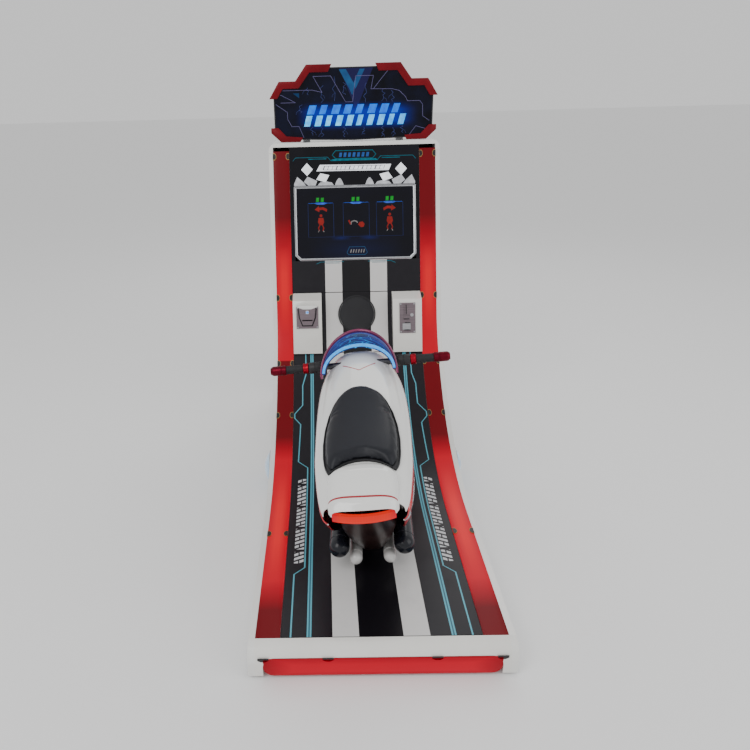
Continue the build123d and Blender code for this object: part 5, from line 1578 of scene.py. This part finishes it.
class CABINET_OT_bike_dash(bpy.types.Operator):
    """The crescent dash: dark blue lens, maroon rim and a lit strip along its inner edge"""
    bl_idname = "cabinet.bike_dash"
    bl_label = "Bike dash"

    def execute(self, context):
        def arc(inner, outer, section, name):
            """Sweeps a closed section (share from inner to outer ellipse, lift) round the crescent."""
            count = len(section)

            def place(u, v):
                share, lift = section[int(round(v * count)) % count]
                angle = math.pi * (0.001 + 0.998 * u)
                a = inner[0] + (outer[0] - inner[0]) * share
                b = inner[1] + (outer[1] - inner[1]) * share
                return dash_point(a * math.cos(angle), b * math.sin(angle), lift)

            def mapping(u, v):
                return (u, section[int(round(v * count)) % count][0])
            piece = tidy_mesh(form(name, 72, count, place, mapping), 0.00002)
            cap_ends(piece)
            return smooth(piece, 50)

        lens_section = [(0.0, 0.0145), (1.0, 0.0145), (1.0, 0.0188), (0.96, 0.0197)]
        lens_section += [(0.9 - n * 0.1,
                          0.0199 + 0.0022 * math.sin(math.pi * (n + 1) / 10)) for n in range(9)]
        lens_section += [(0.04, 0.0197), (0.0, 0.0188)]
        ride_bike(arc((0.112, 0.122), (0.122, 0.206), lens_section, "dash_lens_glass"), dash_glow(),
                  "blue_lens",
                  ("dash_lens",))
        rim_section = [(0.0, -0.0038), (1.0, -0.0038), (1.0, 0.017), (0.92, 0.0198), (0.75, 0.0216),
                       (0.5, 0.0222),
                       (0.25, 0.0216), (0.08, 0.0200), (0.0, 0.0185)]
        maroon = Finish("rim_maroon", (0.20, 0.012, 0.075), 0.22, metallic=0.35, coat=0.7)
        cloud = maroon.noise(16.0, 3.0).rise(0.3, 0.75)
        maroon.set("Base Color", maroon.mix(cloud, (0.14, 0.008, 0.060), (0.30, 0.020, 0.110)))
        maroon.bump(maroon.noise(420.0, 2.0), 0.05, 0.0004)
        ride_bike(arc((0.1225, 0.2066), (0.130, 0.218), rim_section, "dash_rim_shell"), maroon.material,
                  "maroon",
                  ("dash_rim",))
        strip_section = [(0.0, 0.0206), (1.0, 0.0206), (1.0, 0.0240), (0.75, 0.0250), (0.25, 0.0250),
                         (0.0, 0.0240)]
        blue = tuple(context.scene.bike_controls.blue)
        bright = tuple(min(1.0, channel + 0.12) for channel in blue)
        ride_bike(arc((0.1135, 0.1205), (0.1215, 0.1335), strip_section, "dash_strip_lens"),
                  glowing("dash_strip_blue", blue, bright, 1.3, 90.0), "light_board", ("dash_light_strip",))
        return {"FINISHED"}


class CABINET_OT_bike_controls(bpy.types.Operator):
    """Ribbed grips, rings, bar ends, switch housings and the red tail lamp"""
    bl_idname = "cabinet.bike_controls"
    bl_label = "Bike controls"

    def execute(self, context):
        sizes = context.scene.bike_controls
        centre = (0, nose(BAR_BACK), BAR_HEIGHT)
        rubber = moulded("grip_rubber", (0.020, 0.020, 0.022), 0.55, 1200.0, 0.25)
        anodised = brushed("ring_red", (0.42, 0.015, 0.030), 0.26, (120.0, 3.0, 3.0))
        black = moulded("control_black", (0.016, 0.016, 0.018), 0.42)
        end_red = brushed("end_red", (0.16, 0.010, 0.022), 0.3, (120.0, 3.0, 3.0))
        radius = sizes.grip_radius
        low, high = 0.1954, 0.2536
        grips = {}
        rings, ends, housings = [], [], []
        for side in (-1, 1):
            stations = [(low, radius - 0.0012)]
            pitch = (high - low) / sizes.grip_ribs
            for n in range(sizes.grip_ribs):
                start = low + pitch * n
                stations += [(start + pitch * 0.18, radius - 0.0011),
                             (start + pitch * 0.36, radius - 0.0001),
                             (start + pitch * 0.74, radius - 0.0001),
                             (start + pitch * 0.92, radius - 0.0011)]
            stations.append((high, radius - 0.0012))
            grips[side] = turned("grip", stations, centre, (side, 0, 0), 40)
            rings.append(turned("ring", [(.1754, .0165), (.1765, .0186), (.1805, .0190), (.1850, .0178),
                                         (.1895, .0190),
                                         (.1935, .0186), (.1946, .0165)], centre, (side, 0, 0), 44))
            ends.append(turned("end", [(.2544, .0150), (.2560, .0167), (.2700, .0170), (.2712, .0158),
                                       (.2736, .0158),
                                       (.2748, .0170), (.3000, .0168), (.3045, .0155), (.3062, .0132),
                                       (.3096, .0120),
                                       (.3098, .0060)], centre, (side, 0, 0), 44))
            housings.append(turned("housing", [(.1304, .0150), (.1322, .0186), (.1350, .0199),
                                               (.1500, .0199),
                                               (.1508, .0188), (.1530, .0188), (.1538, .0199),
                                               (.1700, .0197),
                                               (.1738, .0180), (.1746, .0150)], centre, (side, 0, 0), 44))
        ride_bike(smooth(grips[-1], 50), rubber, "rubber_black", ("grip_left",))
        ride_bike(smooth(grips[1], 50), rubber, "rubber_black", ("throttle_grip",), body="throttle")
        ride_bike(smooth(join("bar_rings", rings), 40), anodised, SLOTS["bar_ends_and_rings"],
                  ("bar_ends_and_rings",))
        ride_bike(smooth(join("bar_ends", ends), 40), end_red, SLOTS["bar_ends_and_rings"],
                  ("bar_ends_and_rings",))
        ride_bike(smooth(join("switch_housing_shells", housings), 40), black, SLOTS["switch_housings"],
                  ("switch_housings",))
        coat("handlebar", brushed("bar_steel", (0.10, 0.10, 0.11), 0.35, (140.0, 3.0, 3.0)))
        section = [(0.0960, .4250), (0.1110, .4250), (0.1110, .4445), (0.0975, .4450), (0.0955, .4400),
                   (0.0948, .4340),
                   (0.0950, .4275)]

        def lamp_place(u, v):
            y, z = section[int(round(v * len(section))) % len(section)]
            x = (u * 2 - 1) * 0.0835
            return Vector((x, nose(y + 0.012 * (x / 0.0835) ** 2), z + 0.0035 * (x / 0.0835) ** 2))
        lamp = tidy_mesh(form("tail_lamp", 40, len(section), lamp_place), 0.00003)
        cap_ends(lamp)
        ride_bike(smooth(lamp, 40), tail_glow(), "lamp_red", ("tail_lamp_lens",))
        return {"FINISHED"}


class CABINET_OT_finishes(bpy.types.Operator):
    """Finishes of the CAD parts that keep their own shape"""
    bl_idname = "cabinet.finishes"
    bl_label = "Finishes"

    def execute(self, context):
        white = white_gloss("panel_white", tuple(context.scene.cabinet_shell.white))
        cream = white_gloss("cap_cream", (0.80, 0.79, 0.75))
        black = moulded("plastic_black", (0.016, 0.016, 0.018), 0.42)
        steel = brushed("steel_bright", (0.62, 0.62, 0.63), 0.22)
        zinc = brushed("steel_zinc", (0.50, 0.51, 0.53), 0.38)
        powder = moulded("frame_powder", (0.030, 0.030, 0.034), 0.5, 500.0, 0.3)
        wood = Finish("shelf_board", (0.05, 0.045, 0.04), 0.6)
        rings = wood.add("ShaderNodeTexWave", {"bands_direction": "Y"}, wood.place(), 14.0, 6.0, 3.0)
        wood.set("Base Color", wood.mix(rings, (0.045, 0.036, 0.028), (0.090, 0.070, 0.050)))
        wood.bump(wood.noise(200.0, 4.0), 0.15, 0.0006)
        green = moulded("electronics_grey", (0.14, 0.15, 0.16), 0.4)
        paint_dark = moulded("rear_paint", (0.016, 0.016, 0.018), 0.55, 300.0, 0.10)
        finishes = {"side_panels": white, "tower_top_cap": white, "nose_cap": cream,
                    "rear_panel": paint_dark,
                    "rear_door": paint_dark, "marquee_housing": black, "deck_panel": black,
                    "lower_tower_panel": black,
                    "screen_surround": black_acrylic("surround_black"), "rail_channels": zinc,
                    "light_strips": moulded("strip_board", (0.70, 0.66, 0.60), 0.5), "steel_frame": powder,
                    "levelling_feet": moulded("foot_rubber", (0.025, 0.025, 0.027), 0.6),
                    "door_lock": steel,
                    "door_hinge_fixed": zinc, "exhaust_fan": black, "fan_rotor": moulded("fan_grey",
                                                            (.05, .05, .055)),
                    "mains_inlet": black, "power_rocker": moulded("rocker_red", (0.45, 0.012, 0.012), 0.35),
                    "brackets_and_fasteners": zinc, "speaker_driver": moulded("cone_black",
                                                            (0.02, 0.02, 0.02), 0.7),
                    "equipment_shelf": wood.material, "game_computer": green, "power_and_io_units": green,
                    "pedestal": powder, "lean_stop_buffers": moulded("buffer_rubber", (0.02, 0.02, 0.02),
                                                            0.65),
                    "pivot_bearings": steel, "pivot_shaft": steel, "bike_chassis": powder}
        for node, material in finishes.items():
            coat(node, material)
        return {"FINISHED"}


class CABINET_OT_stage(bpy.types.Operator):
    """Pale floor, soft lights, world and camera"""
    bl_idname = "cabinet.stage"
    bl_label = "Stage"

    def execute(self, context):
        sizes = context.scene.cabinet_stage
        floor = primitive("plane", "studio_floor", size=60, location=(0, 10.0, 0))
        settle(floor)
        paint = Finish("studio_floor_paint", tuple(sizes.floor_colour), 0.55)
        floor.data.materials.append(paint.material)
        world = bpy.data.worlds.new("studio_world")
        world.use_nodes = True
        world.node_tree.nodes["Background"].inputs[0].default_value = (1.0, 1.0, 1.0, 1)
        world.node_tree.nodes["Background"].inputs[1].default_value = DAYLIGHT
        context.scene.world = world
        for name, place, aim, size, share in (("key", (-2.2, -2.6, 3.4), (0, 0, 0.7), 2.4, 1.0),
                                              ("fill", (2.8, -1.8, 2.4), (0, 0, 0.6), 2.6, 0.55),
                                              ("back", (0.6, 3.0, 3.2), (0, 0.3, 1.0), 2.4, 0.45)):
            light = bpy.data.lights.new(name, "AREA")
            light.energy = sizes.key_power * share
            light.size = size
            lamp = bpy.data.objects.new(name, light)
            context.scene.collection.objects.link(lamp)
            lamp.location = place
            lamp.rotation_euler = (Vector(aim) - Vector(place)).to_track_quat("-Z", "Y").to_euler()
        lens = bpy.data.cameras.new("camera")
        lens.lens, lens.sensor_width = LENS_LENGTH, 36
        lens.shift_x, lens.shift_y = LENS_SHIFT
        camera = bpy.data.objects.new("camera", lens)
        context.scene.collection.objects.link(camera)
        right, up = Vector(CAMERA_RIGHT), Vector(CAMERA_UP)
        behind = right.cross(up)
        turn = Matrix((right, up, behind)).transposed().to_4x4()
        camera.matrix_world = Matrix.Translation(CAMERA_PLACE) @ turn
        context.scene.camera = camera
        return {"FINISHED"}


OPERATORS = (CABINET_OT_deck_prints, CABINET_OT_tower_lights, CABINET_OT_rail_lenses, CABINET_OT_deck_domes,
             CABINET_OT_lens_clips, CABINET_OT_display, CABINET_OT_sign, CABINET_OT_money_boxes,
             CABINET_OT_speaker,
             CABINET_OT_bike_shells, CABINET_OT_bike_seat, CABINET_OT_bike_dash, CABINET_OT_bike_controls,
             CABINET_OT_finishes, CABINET_OT_stage)


class CABINET_PT_panel(bpy.types.Panel):
    """Lists the cabinet's pieces"""
    bl_idname = "CABINET_PT_panel"
    bl_label = "Racing cabinet"
    bl_space_type = "VIEW_3D"
    bl_region_type = "UI"
    bl_category = "Cabinet"

    def draw(self, context):
        for operator in OPERATORS:
            self.layout.operator(operator.bl_idname)


def register():
    for group in GROUPS.values():
        bpy.utils.register_class(group)
    for name, group in GROUPS.items():
        setattr(bpy.types.Scene, name, bpy.props.PointerProperty(type=group))
    for operator in OPERATORS:
        bpy.utils.register_class(operator)
    bpy.utils.register_class(CABINET_PT_panel)


def unregister():
    bpy.utils.unregister_class(CABINET_PT_panel)
    for operator in reversed(OPERATORS):
        bpy.utils.unregister_class(operator)
    for name, group in reversed(GROUPS.items()):
        delattr(bpy.types.Scene, name)
        bpy.utils.unregister_class(group)


def main():
    register()
    bpy.ops.cabinet.deck_prints()
    bpy.ops.cabinet.tower_lights()
    bpy.ops.cabinet.rail_lenses()
    bpy.ops.cabinet.deck_domes()
    bpy.ops.cabinet.lens_clips()
    bpy.ops.cabinet.display()
    bpy.ops.cabinet.sign()
    bpy.ops.cabinet.money_boxes()
    bpy.ops.cabinet.speaker()
    bpy.ops.cabinet.bike_shells()
    bpy.ops.cabinet.bike_seat()
    bpy.ops.cabinet.bike_dash()
    bpy.ops.cabinet.bike_controls()
    bpy.ops.cabinet.finishes()
    bpy.ops.cabinet.stage()


if __name__ == "__main__":
    main()
